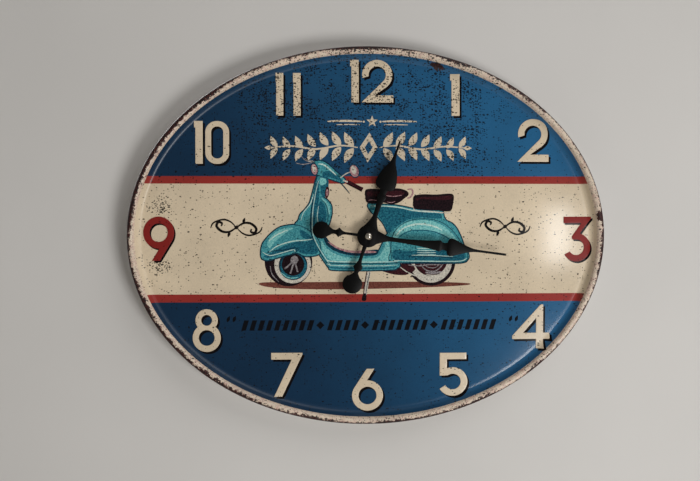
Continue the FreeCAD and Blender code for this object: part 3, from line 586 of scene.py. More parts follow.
# digit, left edge, bottom edge, width and height scale
cast = [
    ("1", -14.7, 111.6, 1.0, 1.0), ("2", -5.3, 111.6, 1.0, 1.0),
    ("|", -76.8, 100.4, 1.0, 1.0), ("|", -62.4, 100.4, 1.0, 1.0),
    ("1", 69.3, 100.7, 1.12, 0.985), ("2", 126.4, 62.4, 1.0, 1.01),
    ("4", 122.8, -95.6, 1.02, 1.02), ("5", 58.6, -135.6, 1.05, 1.01), ("6", -13.2, -147.6, 1.0, 0.985),
    ("7", -81.0, -135.2, 1.0, 1.0), ("8", -146.6, -97.0, 0.98, 0.985),
    ("1", -144.6, 60.2, 1.0, 1.0), ("0", -135.3, 60.1, 1.0, 0.985),
]
redCast = [("3", 165.4, -22.0, 0.985, 1.0), ("9", -187.0, -21.3, 0.98, 1.02)]


def numerals():
    creamInk = inkMaterial("numeralCreamInk", "#d8c6ab", 0.92, None, 0.25)
    redInk = inkMaterial("numeralRedInk", "#84231f", 0.7, None, 0.36)
    shadeInk = inkMaterial("numeralShadeInk", "#0b0709", 0.6)
    height, r = numeral["raised"], numeral["rounding"]
    for name, listed, ink in (("numeralsCream", cast, creamInk), ("numeralsRed", redCast, redInk)):
        shapes, shades = [], []
        for digit, x, z, wide, tall in listed:
            loops = [[(x + a * wide, z + b * tall) for a, b in loop] for loop in digitLoops(digit)]
            dx, dz = numeral["redShadow" if ink is redInk else "shadow"]
            shapes.append((loops, height, r, 0.0))
            shades.append(([[(a + dx, b + dz) for a, b in loop] for loop in loops], 0.05))
        printShapes(name, shapes, ink, numeral["cell"])
        printShapes(name + "Shade", shades, shadeInk, numeral["cell"])


numerals()
print("numerals printed")


def brush(points, width, pointed=True):
    # a hand-drawn line, thinner towards its ends
    line = easyLine(points, 5) if len(points) > 2 else list(points)
    count = len(line) - 1
    left, right = [], []
    for k, (x, y) in enumerate(line):
        ax, ay = line[max(k - 1, 0)]
        bx, by = line[min(k + 1, count)]
        size = math.hypot(bx - ax, by - ay) or 1
        nx, ny = -(by - ay) / size, (bx - ax) / size
        t = k / count
        half = width / 2 * (0.3 + 0.7 * math.sin(math.pi * min(max(t, 0.04),
                                                               0.96)) ** 0.5 if pointed else 1)
        left.append((x + nx * half, y + ny * half))
        right.append((x - nx * half, y - ny * half))
    return left + right[::-1]


def oval(x, y, rx, ry, lean=0, count=40):
    c, s = math.cos(math.radians(lean)), math.sin(math.radians(lean))
    points = arcPoints(0, 0, 1, 0, 360 - 360 / count, count - 1)
    return [(x + a * rx * c - b * ry * s, y + a * rx * s + b * ry * c) for a, b in points]


scooterInks = {
    # name: colour, paler and darker speckle
    "teal": ("#3f8f98", "#27707c", "#5aa9ae"),
    "deep": ("#1a5b6f", "#0f3f52", "#2d7886"),
    "pale": ("#74bbb9", "#4c9fa5", "#93cfca"),
    "line": ("#0f3244", "#081f2b", "#164253"),
    "light": ("#b9d6cc", "#9cc7c1", "#d2e2d6"),
    "dark": ("#1a0f14", "#0e080c", "#2a171c"),
    "maroon": ("#35161c", "#1e0c12", "#4a2026"),
    "white": ("#c9c2b4", "#a9a39a", "#dcd5c6"),
    "grey": ("#857e80", "#5a5459", "#aaa3a2"),
    "ground": ("#6e3d34", "#5e332d", "#7d4a3e"),
    "pink": ("#a67a7e", "#80525a", "#c4a09e"),
}

frontFender = [(-60.6, 9.2), (-67, 8.8), (-73.5, 7.2), (-79, 3.6), (-84.6, -2), (-88.4, -8), (-89, -17.4),
               (-84.8, -20.2), (-79, -19), (-73.5, -17.4), (-66, -15.4), (-58.7, -14), (-53, -16.6),
               (-45, -16.4),
               (-40.2, -14), (-40.4, -6), (-44, 0), (-47.8, 3.4), (-54, 7.2)]
shield = [(-43.4, 46.5), (-45.6, 38), (-47.2, 32), (-48.9, 27), (-52.6, 22), (-56.4, 18), (-58, 13.4),
          (-60.6, 9.2),
          (-54, 6.2), (-47.8, 1.6), (-45.8, -4), (-41.8, -13), (-37.2, -20), (-32.8, -26.2), (-29, -28.4),
          (-4, -28.8),
          (20.2, -28.2), (24.4, -27), (27, -24.3), (24, -16), (19.8, -6), (17, 1.8), (12.4, -6.4),
          (9.2, -12.8),
          (5.4, -16.2), (-11.9, -16.3), (-24.2, -13.6), (-32.4, -9), (-36.4, -2), (-34.6, 4), (-32.6, 9.8),
          (-30.6, 16.6), (-30.2, 21.4), (-30.8, 26), (-34.3, 30.4), (-38.4, 33.4), (-39.4, 40),
          (-38.6, 48.6), (-42, 49.6)]
rearBody = [(0.6, 26.6), (12, 26.2), (26, 25.2), (40, 22.4), (52, 21.2), (62.3, 20.7), (64, 16.4), (66, 13),
            (71, 10.4), (74.6, 6.6), (78.4, -0.6), (81.2, -8.2), (84.8, -14.6), (84.6, -19.6), (78, -22.6),
            (50, -22.4),
            (26.6, -22), (20.4, -16), (19.8, -6.4), (17, 2.2), (13.4, 10), (9, 15.4), (3, 20.4)]
sidePanel = [(19.8, -21.4), (19.6, -12), (20.2, -3), (24.8, 6), (34.8, 12.4), (47.4, 14.2), (60, 12),
             (69, 6.4),
             (76, -1.6), (80.8, -10), (84, -15.4), (82.4, -21), (70, -22), (46, -21.8)]
headset = [(-45.4, 60.4), (-43.8, 62.2), (-39, 62.8), (-35, 61), (-31.4, 58.2), (-24.4, 51.8),
           (-19.2, 47.4),
           (-20.6, 44.6), (-25, 45.6), (-31, 47.6), (-36, 49.2), (-41.2, 51), (-44.6, 53.4)]
frontSeat = [(-1.6, 38.2), (4, 39.2), (14, 38.6), (25, 39.6), (32.4, 37.6), (34, 34.6), (30.4, 31.6),
             (26.6, 28.6),
             (20.4, 26.8), (12, 28.4), (4, 27.4), (-0.8, 28.6), (-1.8, 33)]
rearSeat = [(39.2, 33.2), (46, 34.6), (58, 34.4), (69, 35.2), (72.2, 33.4), (71.6, 27), (70.2, 21.8),
            (66, 20.8),
            (54, 22), (42, 22.6), (38.6, 24.6), (38.4, 29)]


def scooterPicture():
    art = {name: [] for name in scooterInks}

    def fill(ink, layer, points, grow=0.0):
        art[ink].append(([easyLoop(points, 4)], layer, 0.0, grow))

    def shape(ink, layer, *loops):
        art[ink].append((list(loops), layer))

    def line(ink, layer, width, *points):
        art[ink].append(([brush(points, width)], layer))

    fill("ground", 0.03, [(-89, -38.9), (-60, -38.6), (0, -38.4), (50, -38.6), (80, -39.6), (87, -40.7),
                                 (78, -42), (40, -43.6), (-20, -44.7), (-62, -44.2), (-86, -42.2)])
    # wheels
    shape("dark", 0.06, oval(-66.3, -21.6, 19.9, 20.4))
    shape("white", 0.08, oval(-62.8, -24.0, 15.3, 15.6), oval(-62.5, -24.6, 12.0, 12.2))
    shape("line", 0.08, oval(-62.5, -24.6, 11.7, 11.9))
    shape("deep", 0.10, oval(-62.0, -25.4, 10.9, 10.8), oval(-62.6, -23.8, 9.4, 9.4))
    shape("dark", 0.10, oval(-62.6, -23.8, 9.4, 9.4))
    for foot in ((-69.4, -27.4), (-64.8, -31.4), (-58.6, -30.2)):
        line("grey", 0.12, 2.4, (-61.4, -20.4), foot)
    shape("grey", 0.14, oval(-61.4, -20.0, 3.2, 3.6, -20))
    line("pale", 0.14, 1.0, (-72.8, -30.4), (-66, -35), (-58, -34.4))
    line("grey", 0.12, 0.8, (-81.6, -25), (-80, -32), (-74.4, -38.2))
    shape("dark", 0.06, oval(53.6, -21.5, 20.5, 20.5))
    shape("white", 0.08, oval(53.3, -21.0, 18.0, 18.4), oval(53.2, -20.4, 13.9, 13.2))
    shape("maroon", 0.08, oval(53.2, -20.4, 13.6, 13.0))
    line("grey", 0.12, 1.1, (44.4, -23.4), (49, -28.6), (57, -29.6), (63.6, -24))
    line("grey", 0.12, 0.7, (47.2, -23.4), (51, -26.4), (57, -26.6), (60.6, -23.4))
    line("white", 0.14, 1.4, (38, -30.6), (48, -34), (60, -34.6), (66.4, -27.6))
    # engine, silencer and stand
    fill("maroon", 0.12, [(10.4, -28.4), (18, -31.4), (26, -32.8), (33.6, -32.4), (40, -28), (34, -23),
                          (14, -26)])
    line("white", 0.16, 1.0, (27.4, -26.2), (33, -30.2), (41, -33.6), (50, -33.4))
    line("grey", 0.16, 1.8, (48.6, -30.6), (55, -31.4), (62.4, -30.2))
    line("white", 0.18, 0.7, (49, -32.4), (55, -33.2), (61.4, -32.6))
    line("grey", 0.16, 0.9, (34, -24.4), (42, -25.2), (52, -24.2), (62, -24.4))
    shape("white", 0.12, [(-0.6, -27.6), (3.0, -27.6), (-1.0, -49.8), (-3.8, -49.4)])
    line("line", 0.14, 0.6, (2.3, -27.6), (-0.2, -40), (-1.7, -49.6))
    line("maroon", 0.14, 0.9, (-0.4, -28), (-2.4, -40), (-3.6, -49.4))
    fill("dark", 0.14, [(-3.6, -48.6), (-1.2, -48.8), (-1.4, -54), (-4.2, -54.4), (-4.9, -53)])
    # body shapes with their dark outline
    for points in (frontFender, shield, rearBody, headset):
        fill("line", 0.16, points, 1.0)
    fill("teal", 0.18, rearBody)
    fill("teal", 0.18, shield)
    fill("teal", 0.20, headset)
    fill("line", 0.19, frontFender, 0.6)
    fill("teal", 0.21, frontFender)
    # shading in the rear body
    fill("deep", 0.20, [(11, 24.6), (26, 23.4), (42, 20.4), (60, 18.8), (62, 15), (56, 14.6), (46, 15.4),
                               (34, 13.6), (24, 7.6), (17.6, 2.4), (13.8, 10), (8.6, 18)])
    fill("line", 0.21, sidePanel, 0.55)
    fill("teal", 0.23, sidePanel)
    fill("pale", 0.24, [(21.4, 0), (26.6, 7.8), (36, 12.4), (47.4, 13.2), (58, 11.2), (67, 6), (73.4, -0.6),
                               (77.6, -7), (74, -6), (66.4, -0.4), (56, 4), (44, 5.4), (33, 4), (26.4, 0),
                               (22.6, -4.4)])
    line("light", 0.26, 1.5, (24.4, 0.6), (28.4, 5.4), (36.2, 9.0), (46, 9.9), (56.4, 7.8), (63, 4.4))
    line("deep", 0.25, 0.8, (26.2, -1.4), (33, 3.2), (44, 4.8), (56, 3.4), (67, -1.4), (73, -7))
    fill("deep", 0.24, [(22, -12), (34, -12.6), (50, -12), (66, -11.8), (80, -12.4), (82.6, -18.4),
                        (76, -20.8),
                               (44, -20.4), (23, -20.2)])
    for level in (-10.4, -12.2, -14.0, -15.8):
        line("light", 0.26, 0.75, (41.6, level), (49, level - 0.2), (57.4, level))
    line("line", 0.26, 0.7, (35.4, -17.6), (35.8, -16.9), (56, -17.3), (78, -18.9))
    line("light", 0.27, 0.6, (37, -16.2), (56, -16.5), (72, -17.4))
    line("light", 0.26, 0.7, (22, -20.6), (44, -21.2), (76, -21.4), (83.6, -18.8))
    line("line", 0.26, 0.6, (19.9, -20), (19.5, -8), (20.3, -1.4))
    line("light", 0.24, 0.9, (2.4, 25.2), (14, 25), (27, 23.8), (40, 21.0), (58, 19.6))
    line("deep", 0.24, 1.2, (1.6, 22.6), (8, 22.4), (22, 21.2))
    # shading in the shield and floor
    fill("deep", 0.20, [(-47.0, 24), (-45, 34), (-43, 44), (-41.4, 46), (-40.6, 38), (-40.8, 30), (-43, 20),
                               (-44.4, 8), (-45.8, 2), (-47.4, 8)])
    line("line", 0.22, 0.9, (-42.4, 49), (-45, 37), (-47.4, 20), (-47.6, 4), (-44.2, -6), (-38, -17),
         (-32.8, -25.4))
    line("light", 0.23, 0.7, (-41.2, 46), (-43.6, 36), (-46, 20), (-46.2, 4), (-42.6, -6.6), (-36.4, -17),
         (-31.6, -24))
    line("light", 0.22, 0.8, (-45.2, 35), (-48, 27), (-53.4, 20.2), (-56, 13))
    fill("deep", 0.21, [(-40.2, 29), (-37, 27.2), (-35, 22), (-34.6, 15.4), (-36.4, 8), (-39.6, 4.6),
                        (-42, 10), (-42.6, 20)])
    line("line", 0.23, 0.6, (-39.4, 30.4), (-35.6, 27.4), (-33.6, 22), (-33.4, 14.6), (-35.2, 8))
    line("light", 0.24, 0.6, (-41.2, 25), (-42.2, 16), (-40.8, 8))
    fill("pale", 0.21, [(-38.4, 31.8), (-34.6, 29), (-32, 24.6), (-31.6, 18), (-33, 20), (-34.2, 25.6),
                        (-37.4, 29.4)])
    fill("pale", 0.20, [(-38.6, -4), (-34.6, -10), (-25, -16), (-12, -18.4), (6, -18.2), (12.4, -13),
                        (15.8, -4),
                               (18, -8), (20, -19), (8, -22.4), (-20, -22), (-31.6, -19.6), (-38, -12)])
    line("light", 0.23, 0.8, (-34.6, -19.6), (-30, -21.2), (-10, -21.8), (14, -21.8), (25.6, -21.4))
    line("line", 0.23, 0.7, (-35.4, -21), (-30.6, -22.8), (-10, -23.2), (12, -23.2), (26.2, -22.8))
    line("light", 0.24, 0.6, (-34, -23.2), (-29.6, -24.6), (-8, -25), (12, -25), (25, -24.4))
    line("deep", 0.23, 1.5, (-32.6, -25.6), (-28, -26.8), (-6, -27.2), (14, -26.9), (23.6, -26))
    # floor mat
    fill("line", 0.20, [(-36.8, -2.4), (-33.4, -8.6), (-25, -13.6), (-12, -16.4), (5.6, -16.2),
                        (8.8, -13.6),
                               (8.0, -11.4), (-2, -12.2), (-14, -12.2), (-24, -9.8), (-31, -5.6),
                               (-35, -0.8)])
    fill("pink", 0.22, [(-33.4, -5.2), (-26, -10.4), (-14, -14), (4.8, -14.2), (6.4, -12.8), (-2, -12.2),
                               (-14, -12.2), (-24, -9.8), (-31, -5.6)])
    # fender shading
    fill("deep", 0.23, [(-56.4, 5.6), (-50, 2), (-44.8, -4), (-41.4, -12.8), (-46, -15.2), (-54, -14.6),
                               (-60, -12.6), (-68, -14), (-78, -17), (-84, -18.4), (-87, -16.8),
                               (-82, -14.6),
                               (-74, -10), (-66, -6.6), (-58, -4.4), (-50, -4.6), (-56, 0.4)])
    fill("pale", 0.23, [(-84, -6), (-80, 0.6), (-74, 5), (-67, 7), (-62, 6.6), (-68, 3), (-76, -3.4),
                        (-82, -10)])
    line("light", 0.25, 1.1, (-82.4, -4), (-77, 0.4), (-71, 3.4), (-66.8, 5.2))
    line("light", 0.25, 1.0, (-82, -13), (-76.8, -9), (-70, -6.2), (-62, -4.2), (-52.4, -3.4),
         (-46.4, -2.6))
    line("line", 0.25, 0.8, (-85.6, -14.6), (-78, -12.2), (-69, -11.6), (-61, -9.8), (-59.4, -12.6),
         (-62, -14.8))
    line("light", 0.26, 0.8, (-88, -13.4), (-82, -16.2), (-74, -14.6), (-62.2, -11.4), (-61.2, -13.2))
    # head lamp, headset, mirror, bar and lever
    fill("deep", 0.22, [(-37, 49), (-31, 48.8), (-25, 46.8), (-21, 45.8), (-25.4, 51), (-31, 54),
                        (-37.6, 53.4)])
    line("light", 0.24, 1.3, (-41.4, 60.2), (-36.6, 59.4), (-31.4, 55.4), (-26.4, 50.8))
    shape("line", 0.23, oval(-44.6, 55.8, 3.2, 5.3, 12))
    shape("pink", 0.25, oval(-44.7, 55.7, 2.5, 4.5, 12))
    shape("white", 0.27, oval(-45.0, 56.4, 1.4, 3.0, 12))
    fill("deep", 0.18, [(-40.6, 50), (-33.6, 48.4), (-32.8, 41), (-33.6, 34), (-38.6, 33), (-40, 40)])
    fill("pale", 0.20, [(-40, 48.4), (-35.4, 47.8), (-34.8, 44), (-39.4, 42.6)])
    fill("maroon", 0.20, [(-34.8, 40.6), (-32.6, 40.4), (-32.4, 35), (-34.4, 31.4), (-35.8, 35)])
    fill("pink", 0.22, [(-34.4, 38.8), (-33.2, 38.6), (-33.0, 35.2), (-34.4, 33.4), (-35, 36)])
    line("white", 0.20, 0.9, (-24.2, 47.4), (-18.6, 51.8), (-13.4, 54))
    shape("line", 0.20, oval(-11.2, 54.2, 4.3, 5.9, 18))
    shape("pink", 0.22, oval(-11.3, 54.3, 3.5, 5.1, 18))
    shape("white", 0.24, oval(-11.8, 55.2, 2.1, 3.6, 18))
    art["maroon"].append(([brush([(-17.2, 45.2), (-4.4, 38.6)], 3.6, False)], 0.22))
    line("dark", 0.24, 1.2, (-16, 43.4), (-5.4, 37.9))
    line("white", 0.24, 2.4, (-20.6, 46.6), (-16.8, 45))
    line("line", 0.20, 0.9, (-23.6, 45.4), (-19.3, 40.6), (-15.2, 35.6))
    line("grey", 0.20, 0.8, (-60, 61), (-54, 59.8), (-47.6, 61.2), (-44.8, 62.4))
    line("grey", 0.20, 0.7, (-56, 67), (-51.6, 63), (-46.4, 62.2))
    line("white", 0.21, 0.7, (-52, 64.8), (-49.6, 62.6), (-45.6, 62.8))
    # seats
    for points in (frontSeat, rearSeat):
        fill("dark", 0.22, points, 0.3)
    fill("maroon", 0.24, [(0, 37), (10, 37.2), (24, 38.2), (31, 36.4), (26, 33.8), (12, 33), (1, 33.4)])
    line("pink", 0.26, 0.7, (15.4, 33.8), (22, 33.2), (28.8, 34.2))
    line("pink", 0.26, 0.6, (0.6, 29.8), (4, 30.2), (8, 29.6))
    line("pink", 0.26, 0.6, (16, 28.6), (20, 28), (23, 29))
    fill("maroon", 0.24, [(41, 32), (56, 33), (69.4, 33.8), (69.6, 30.8), (60, 30.2), (46, 31), (41.4, 30)])
    line("white", 0.22, 1.0, (38.4, 23.2), (41, 21.2), (54, 20.4), (66.8, 19.2), (70.4, 20.6))
    line("pink", 0.20, 1.4, (33.4, 38.8), (36.6, 39.2), (38, 36.4), (36, 32.6), (33.2, 31.6))
    for name, shapes in art.items():
        code, dark, pale = scooterInks[name]
        strength = 0.9 if name in ("teal", "pale", "white") else 0.6
        piece = "scooter" + name.capitalize()
        printShapes(piece, shapes, inkMaterial(piece + "Ink", code, strength, (dark, pale)))


scooterPicture()
print("picture printed")


def leaf(x, y, length, width, angle, lean=0.0):
    # a pointed leaf growing from (x, y)
    c, s = math.cos(math.radians(angle)), math.sin(math.radians(angle))
    outline = []
    for side in (1, -1):
        steps = range(0, 13) if side == 1 else range(11, 0, -1)
        for k in steps:
            t = k / 12
            bow = side * width / 2 * math.sin(math.pi * t ** 0.85)
            a, b = t * length, bow + lean * math.sin(math.pi * t)
            outline.append((x + a * c - b * s, y + a * s + b * c))
    return outline


def starLoop(x, y, outer, inner):
    turns = [(outer if k % 2 == 0 else inner, math.pi / 2 + math.pi * k / 5) for k in range(10)]
    return [(x + r * math.cos(a), y + r * math.sin(a)) for r, a in turns]


# printed where an old advertisement would have its wording, mm
ornament = {
    "sprayMiddle": (0.7, 74.0), "sprayTall": 25.0, "leaves": 7, "firstLeaf": 12.5, "leafPitch": 10.6,
    "leafSize": (14.6, 6.6), "leafLess": 0.045, "leafAngle": 58, "starMiddle": (3.7, 95.7),
    "scrolls": ((-109.6, 7.2), (116.2, 7.8)), "quotes": ((-117.6, -69.4), (-112.6, -69.4), (120.4, -70.0),
                                                         (125.4, -70.0)),
    "barsStart": -106.0, "barsLow": -79.2, "barsHigh": -70.6, "barsLean": 2.6, "barWide": 3.9,
    "barPitch": 6.85,
    "barGroups": (9, 4, 7, 7), "groupGap": 10.2,
}


def ornaments():
    spray, thin = [], []
    cx, cz = ornament["sprayMiddle"]
    tall = ornament["sprayTall"]
    spray.append(([[(cx - 7.5, cz), (cx + 0.8, cz + tall / 2), (cx + 7.5, cz), (cx - 0.8, cz - tall / 2)],
                   [(cx - 3.3, cz), (cx + 0.4, cz + 5.6), (cx + 3.3, cz), (cx - 0.4, cz - 5.6)]], 0.06))
    for side in (1, -1):
        stem = [(cx + side * a, cz + b) for a, b in ((9, 0), (24, 1.6), (44, -1.4), (64, 1.0), (84, -0.6))]
        thin.append(([brush(stem, 1.5)], 0.05))
        for k in range(ornament["leaves"]):
            x = cx + side * (ornament["firstLeaf"] + ornament["leafPitch"] * k)
            z = cz + 1.2 * math.sin(k * 1.05)
            long, wide = [size * (1.0 - ornament["leafLess"] * k) for size in ornament["leafSize"]]
            for up in (1, -1):
                angle = up * ornament["leafAngle"] if side > 0 else 180 - up * ornament["leafAngle"]
                spray.append(([leaf(x, z + up * 0.5, long, wide, angle, -up * side * 0.8)], 0.07))
        spray.append(([leaf(cx + side * 80, cz - 0.3, 7.0, 3.4, 0 if side > 0 else 180)], 0.08))
    sx, sz = ornament["starMiddle"]
    thin.append(([starLoop(sx, sz, 5.0, 2.1)], 0.07))
    for side in (1, -1):
        thin.append(([brush([(sx + side * 8.5, sz), (sx + side * 22, sz + 0.5), (sx + side * 37.4, sz)],
                            1.7)],
                     0.06))
        thin.append(([brush([(sx + side * 10, sz - 2.7), (sx + side * 20, sz - 2.5),
                             (sx + side * 30, sz - 2.7)], 0.8)],
                     0.06))
        thin.append(([oval(sx + side * 7.0, sz - 0.1, 0.9, 0.9, 0, 14)], 0.07))
    printShapes("leafSpray", spray + thin, inkMaterial("ornamentCreamInk", "#d3c4ac"))

    # black scrolls at the sides, in three thicknesses of pen stroke
    scrolls = []
    for x0, lift in ornament["scrolls"]:
        for side in (1, -1):
            def place(points):
                return [(x0 + side * a, lift + side * b) for a, b in points]
            scrolls.append(([brush(place([(0, 0), (6, 3.6), (12, 3.2), (16.4, -0.8), (15.2, -4.4),
                                          (12.0, -3.6),
                                          (12.6, -1.2)]), 2.2)], 0.05))
            scrolls.append(([brush(place([(1, -1), (5, -4.8), (11, -6.6), (19, -4.0), (21.4, 0.4)]), 1.5)],
                            0.05))
            scrolls.append(([leaf(x0 + side * 5.4, lift + side * 3.4, 5.2, 2.4, 70 if side > 0 else 250)],
                            0.05))
        scrolls.append(([oval(x0, lift, 1.9, 1.5, 30, 20)], 0.06))
    printShapes("sideScrolls", scrolls, inkMaterial("scrollBlackInk", "#15110f", 0.3))

    # a row of slanted bars in groups, with lozenges between
    bars = []
    low, high, lean = ornament["barsLow"], ornament["barsHigh"], ornament["barsLean"]
    x, wide, middle = ornament["barsStart"], ornament["barWide"], (low + high) / 2
    for group in ornament["barGroups"]:
        for k in range(group):
            bars.append(([[(x, low), (x + wide, low), (x + wide + lean, high), (x + lean, high)]], 0.05))
            x += ornament["barPitch"]
        if x < 90:      # none after the last group
            bars.append(([[(x + 1.2, middle), (x + 4.6, middle + 3.4), (x + 8.0, middle),
                           (x + 4.6, middle - 3.4)]],
                         0.05))
        x += ornament["groupGap"]
    for x0, z0 in ornament["quotes"]:
        bars.append(([leaf(x0, z0 - 2.6, 5.6, 2.6, 68)], 0.05))
    printShapes("slantedBars", bars, inkMaterial("barBlackInk", "#0a0c12", 0.2))


ornaments()
print("ornaments printed")


# blanked sheet steel with slightly rounded edges, mm and degrees clockwise from the top
hands = {
    "thick": 0.5, "rounding": 0.13,
    "minuteAngle": 97.7, "minuteBack": 27.6, "minuteHole": 1.4,
    "minuteHub": 8.7, "minuteDisc": -39.5, "minuteDiscRadius": 7.2,
    "hourAngle": 18.5, "hourBack": 24.1, "hourHole": 2.8,
    "hourHub": 9.35, "hourDisc": -41.8, "hourDiscRadius": 8.2,
}


def blackEnamel():
    mat, tree, shader = newMaterial("blackStoveEnamel", 0.3)
    shader.inputs["Specular IOR Level"].default_value = 0.14
    place = millimetres(tree)
    dust = addNode(tree, "TexNoise", {"Scale": 1.6, "Detail": 4.0, "Roughness": 0.7},
                   {"Vector": place}).outputs["Fac"]
    worn = addNode(tree, "TexNoise", {"Scale": 0.12, "Detail": 3.0}, {"Vector": place}).outputs["Fac"]
    tint = addNode(tree, "ValToRGB", links={0: dust})
    tint.color_ramp.elements[0].position = 0.45
    tint.color_ramp.elements[0].color = hexColour("#030303")
    tint.color_ramp.elements[1].position = 0.85
    tint.color_ramp.elements[1].color = hexColour("#0a0a0a")
    tree.links.new(tint.outputs[0], shader.inputs["Base Color"])
    gloss = addNode(tree, "MapRange", {"To Min": 0.26, "To Max": 0.36}, {"Value": worn})
    tree.links.new(gloss.outputs[0], shader.inputs["Roughness"])
    peel = addNode(tree, "TexNoise", {"Scale": 2.2, "Detail": 1.0}, {"Vector": place}).outputs["Fac"]
    bump = addNode(tree, "Bump", {"Strength": 0.08, "Distance": 0.0001}, {"Height": peel})
    tree.links.new(bump.outputs[0], shader.inputs["Normal"])
    return mat


def handOutline(arm, tail, hub, disc, discRadius):
    # right half from the foot of the tail disc to the point, then mirrored
    neck = tail[-1][-1]
    start = math.degrees(math.atan2(neck[1] - disc, neck[0]))
    right = arcPoints(0, disc, discRadius, -90, start, 26)
    for part in tail[::-1]:
        right += easyLine(part, 6)[::-1]
    foot, shoulder = tail[0][0], arm[0][0]
    right += arcPoints(0, 0, hub, math.degrees(math.atan2(foot[1], foot[0])),
                       math.degrees(math.atan2(shoulder[1], shoulder[0])), 24)
    for part in arm:
        right += easyLine(part, 6)
    clean = [right[0]]
    for point in right[1:]:
        if math.dist(point, clean[-1]) > 0.02:
            clean.append(point)
    return clean + [(-x, y) for x, y in clean[::-1] if x > 0.01]


def clockHand(which, arm, tail, material, body):
    outline = handOutline(arm, tail, hands[which + "Hub"], hands[which + "Disc"],
                          hands[which + "DiscRadius"])
    hole = arcPoints(0, 0, hands[which + "Hole"], 0, 345, 23)
    angle, back = hands[which + "Angle"], hands[which + "Back"]
    mesh = flatMesh([outline, hole], hands["thick"], hands["rounding"])
    bm = bmesh.new()
    bm.from_mesh(mesh)
    bpy.data.meshes.remove(mesh)
    bmesh.ops.remove_doubles(bm, verts=bm.verts, dist=0.0004)
    bmesh.ops.recalc_face_normals(bm, faces=bm.faces)
    c, s = math.cos(math.radians(angle)), math.sin(math.radians(angle))
    for v in bm.verts:
        x, y, out = v.co
        v.co = ((x * c + y * s) / 1000, -(back + hands["thick"] / 2 + out) / 1000, (y * c - x * s) / 1000)
    return finish(which + "Hand", bm, material, body, [which + "_hand"], 35)


def spunPiece(profile, segments=64, centre=(0, 0)):
    # (radius, depth) points turned about an axis square to the wall
    bm = bmesh.new()
    verts = [bm.verts.new((centre[0] + r, -d, centre[1])) for r, d in profile]
    edges = [bm.edges.new(pair) for pair in zip(verts, verts[1:])]
    bmesh.ops.spin(bm, geom=verts + edges, cent=(centre[0], 0, centre[1]), axis=(0, 1, 0),
                   angle=math.tau, steps=segments, use_merge=True)
    bmesh.ops.remove_doubles(bm, verts=bm.verts, dist=0.0005)
    bmesh.ops.recalc_face_normals(bm, faces=bm.faces)
    bmesh.ops.scale(bm, verts=bm.verts, vec=(0.001, 0.001, 0.001))
    return bm


minuteArm = [[(6.15, 6.15), (3.5, 12.5), (1.95, 19.0), (2.1, 34.0), (3.2, 49.0), (4.7, 60.3)],
             [(4.7, 60.3), (3.3, 61.8), (3.0, 64.0), (3.6, 66.0)],
             [(3.6, 66.0), (6.6, 67.2), (7.3, 70.6), (4.3, 78.6), (1.9, 86.0), (1.05, 94.0), (0.95, 115.2),
              (0.5, 116)]]
minuteTail = [[(1.2, -8.6), (1.1, -16.0), (1.4, -21.0), (4.1, -25.0)],
              [(4.1, -25.0), (2.0, -27.2), (2.1, -30.2), (4.9, -34.3)]]
hourArm = [[(6.6, 6.6), (4.3, 10.8), (2.4, 16.0), (2.0, 22.0), (2.6, 29.0), (4.2, 35.0)],
           [(4.2, 35.0), (3.0, 36.4), (2.8, 38.5), (3.6, 40.6)],
           [(3.6, 40.6), (7.4, 42.4), (8.7, 47.6), (6.3, 57.0), (2.7, 64.0), (1.1, 71.5), (0.75, 82.8),
            (0.3, 83.5)]]
hourTail = [[(1.8, -9.1), (1.5, -15.0), (1.7, -22.0), (4.0, -27.5)],
            [(4.0, -27.5), (2.1, -30.6), (2.2, -32.6), (5.2, -36.2)]]

enamel = blackEnamel()
clockHand("minute", minuteArm, minuteTail, enamel, "minutes")
clockHand("hour", hourArm, hourTail, enamel, "hours")
print("hands cut")


def metalFinish(name, light, dark, roughness, stretch=(1, 1, 1), variation=0.1):
    mat, tree, shader = newMaterial(name, roughness, 1.0)
    place = millimetres(tree, stretch)
    lines = addNode(tree, "TexNoise", {"Scale": 2.0, "Detail": 4.0}, {"Vector": place}).outputs["Fac"]
    cloud = addNode(tree, "TexNoise", {"Scale": 0.35, "Detail": 3.0}, {"Vector": place}).outputs["Fac"]
    tint = addNode(tree, "Mix", {"A": hexColour(dark), "B": hexColour(light)}, {"Factor": cloud},
                   data_type="RGBA")
    tree.links.new(tint.outputs["Result"], shader.inputs["Base Color"])
    gloss = addNode(tree, "MapRange", {"To Min": roughness - variation, "To Max": roughness + variation},
                    {"Value": lines})
    tree.links.new(gloss.outputs[0], shader.inputs["Roughness"])
    bump = addNode(tree, "Bump", {"Strength": 0.06, "Distance": 0.00005}, {"Height": lines})
    tree.links.new(bump.outputs[0], shader.inputs["Normal"])
    return mat


def mouldedFinish(name, base, pale, roughness, grain=3.2, depth=0.00006, strength=0.25):
    mat, tree, shader = newMaterial(name, roughness)
    place = millimetres(tree)
    spark = addNode(tree, "TexNoise", {"Scale": grain, "Detail": 3.0}, {"Vector": place}).outputs["Fac"]
    wear = addNode(tree, "TexNoise", {"Scale": 0.12, "Detail": 5.0, "Roughness": 0.65},
                   {"Vector": place}).outputs["Fac"]
    tint = addNode(tree, "Mix", {"A": hexColour(base), "B": hexColour(pale)}, {"Factor": wear},
                   data_type="RGBA")
    tree.links.new(tint.outputs["Result"], shader.inputs["Base Color"])
    gloss = addNode(tree, "MapRange", {"To Min": roughness - 0.1, "To Max": roughness + 0.12},
                    {"Value": wear})
    tree.links.new(gloss.outputs[0], shader.inputs["Roughness"])
    bump = addNode(tree, "Bump", {"Strength": strength, "Distance": depth}, {"Height": spark})
    tree.links.new(bump.outputs[0], shader.inputs["Normal"])
    return mat


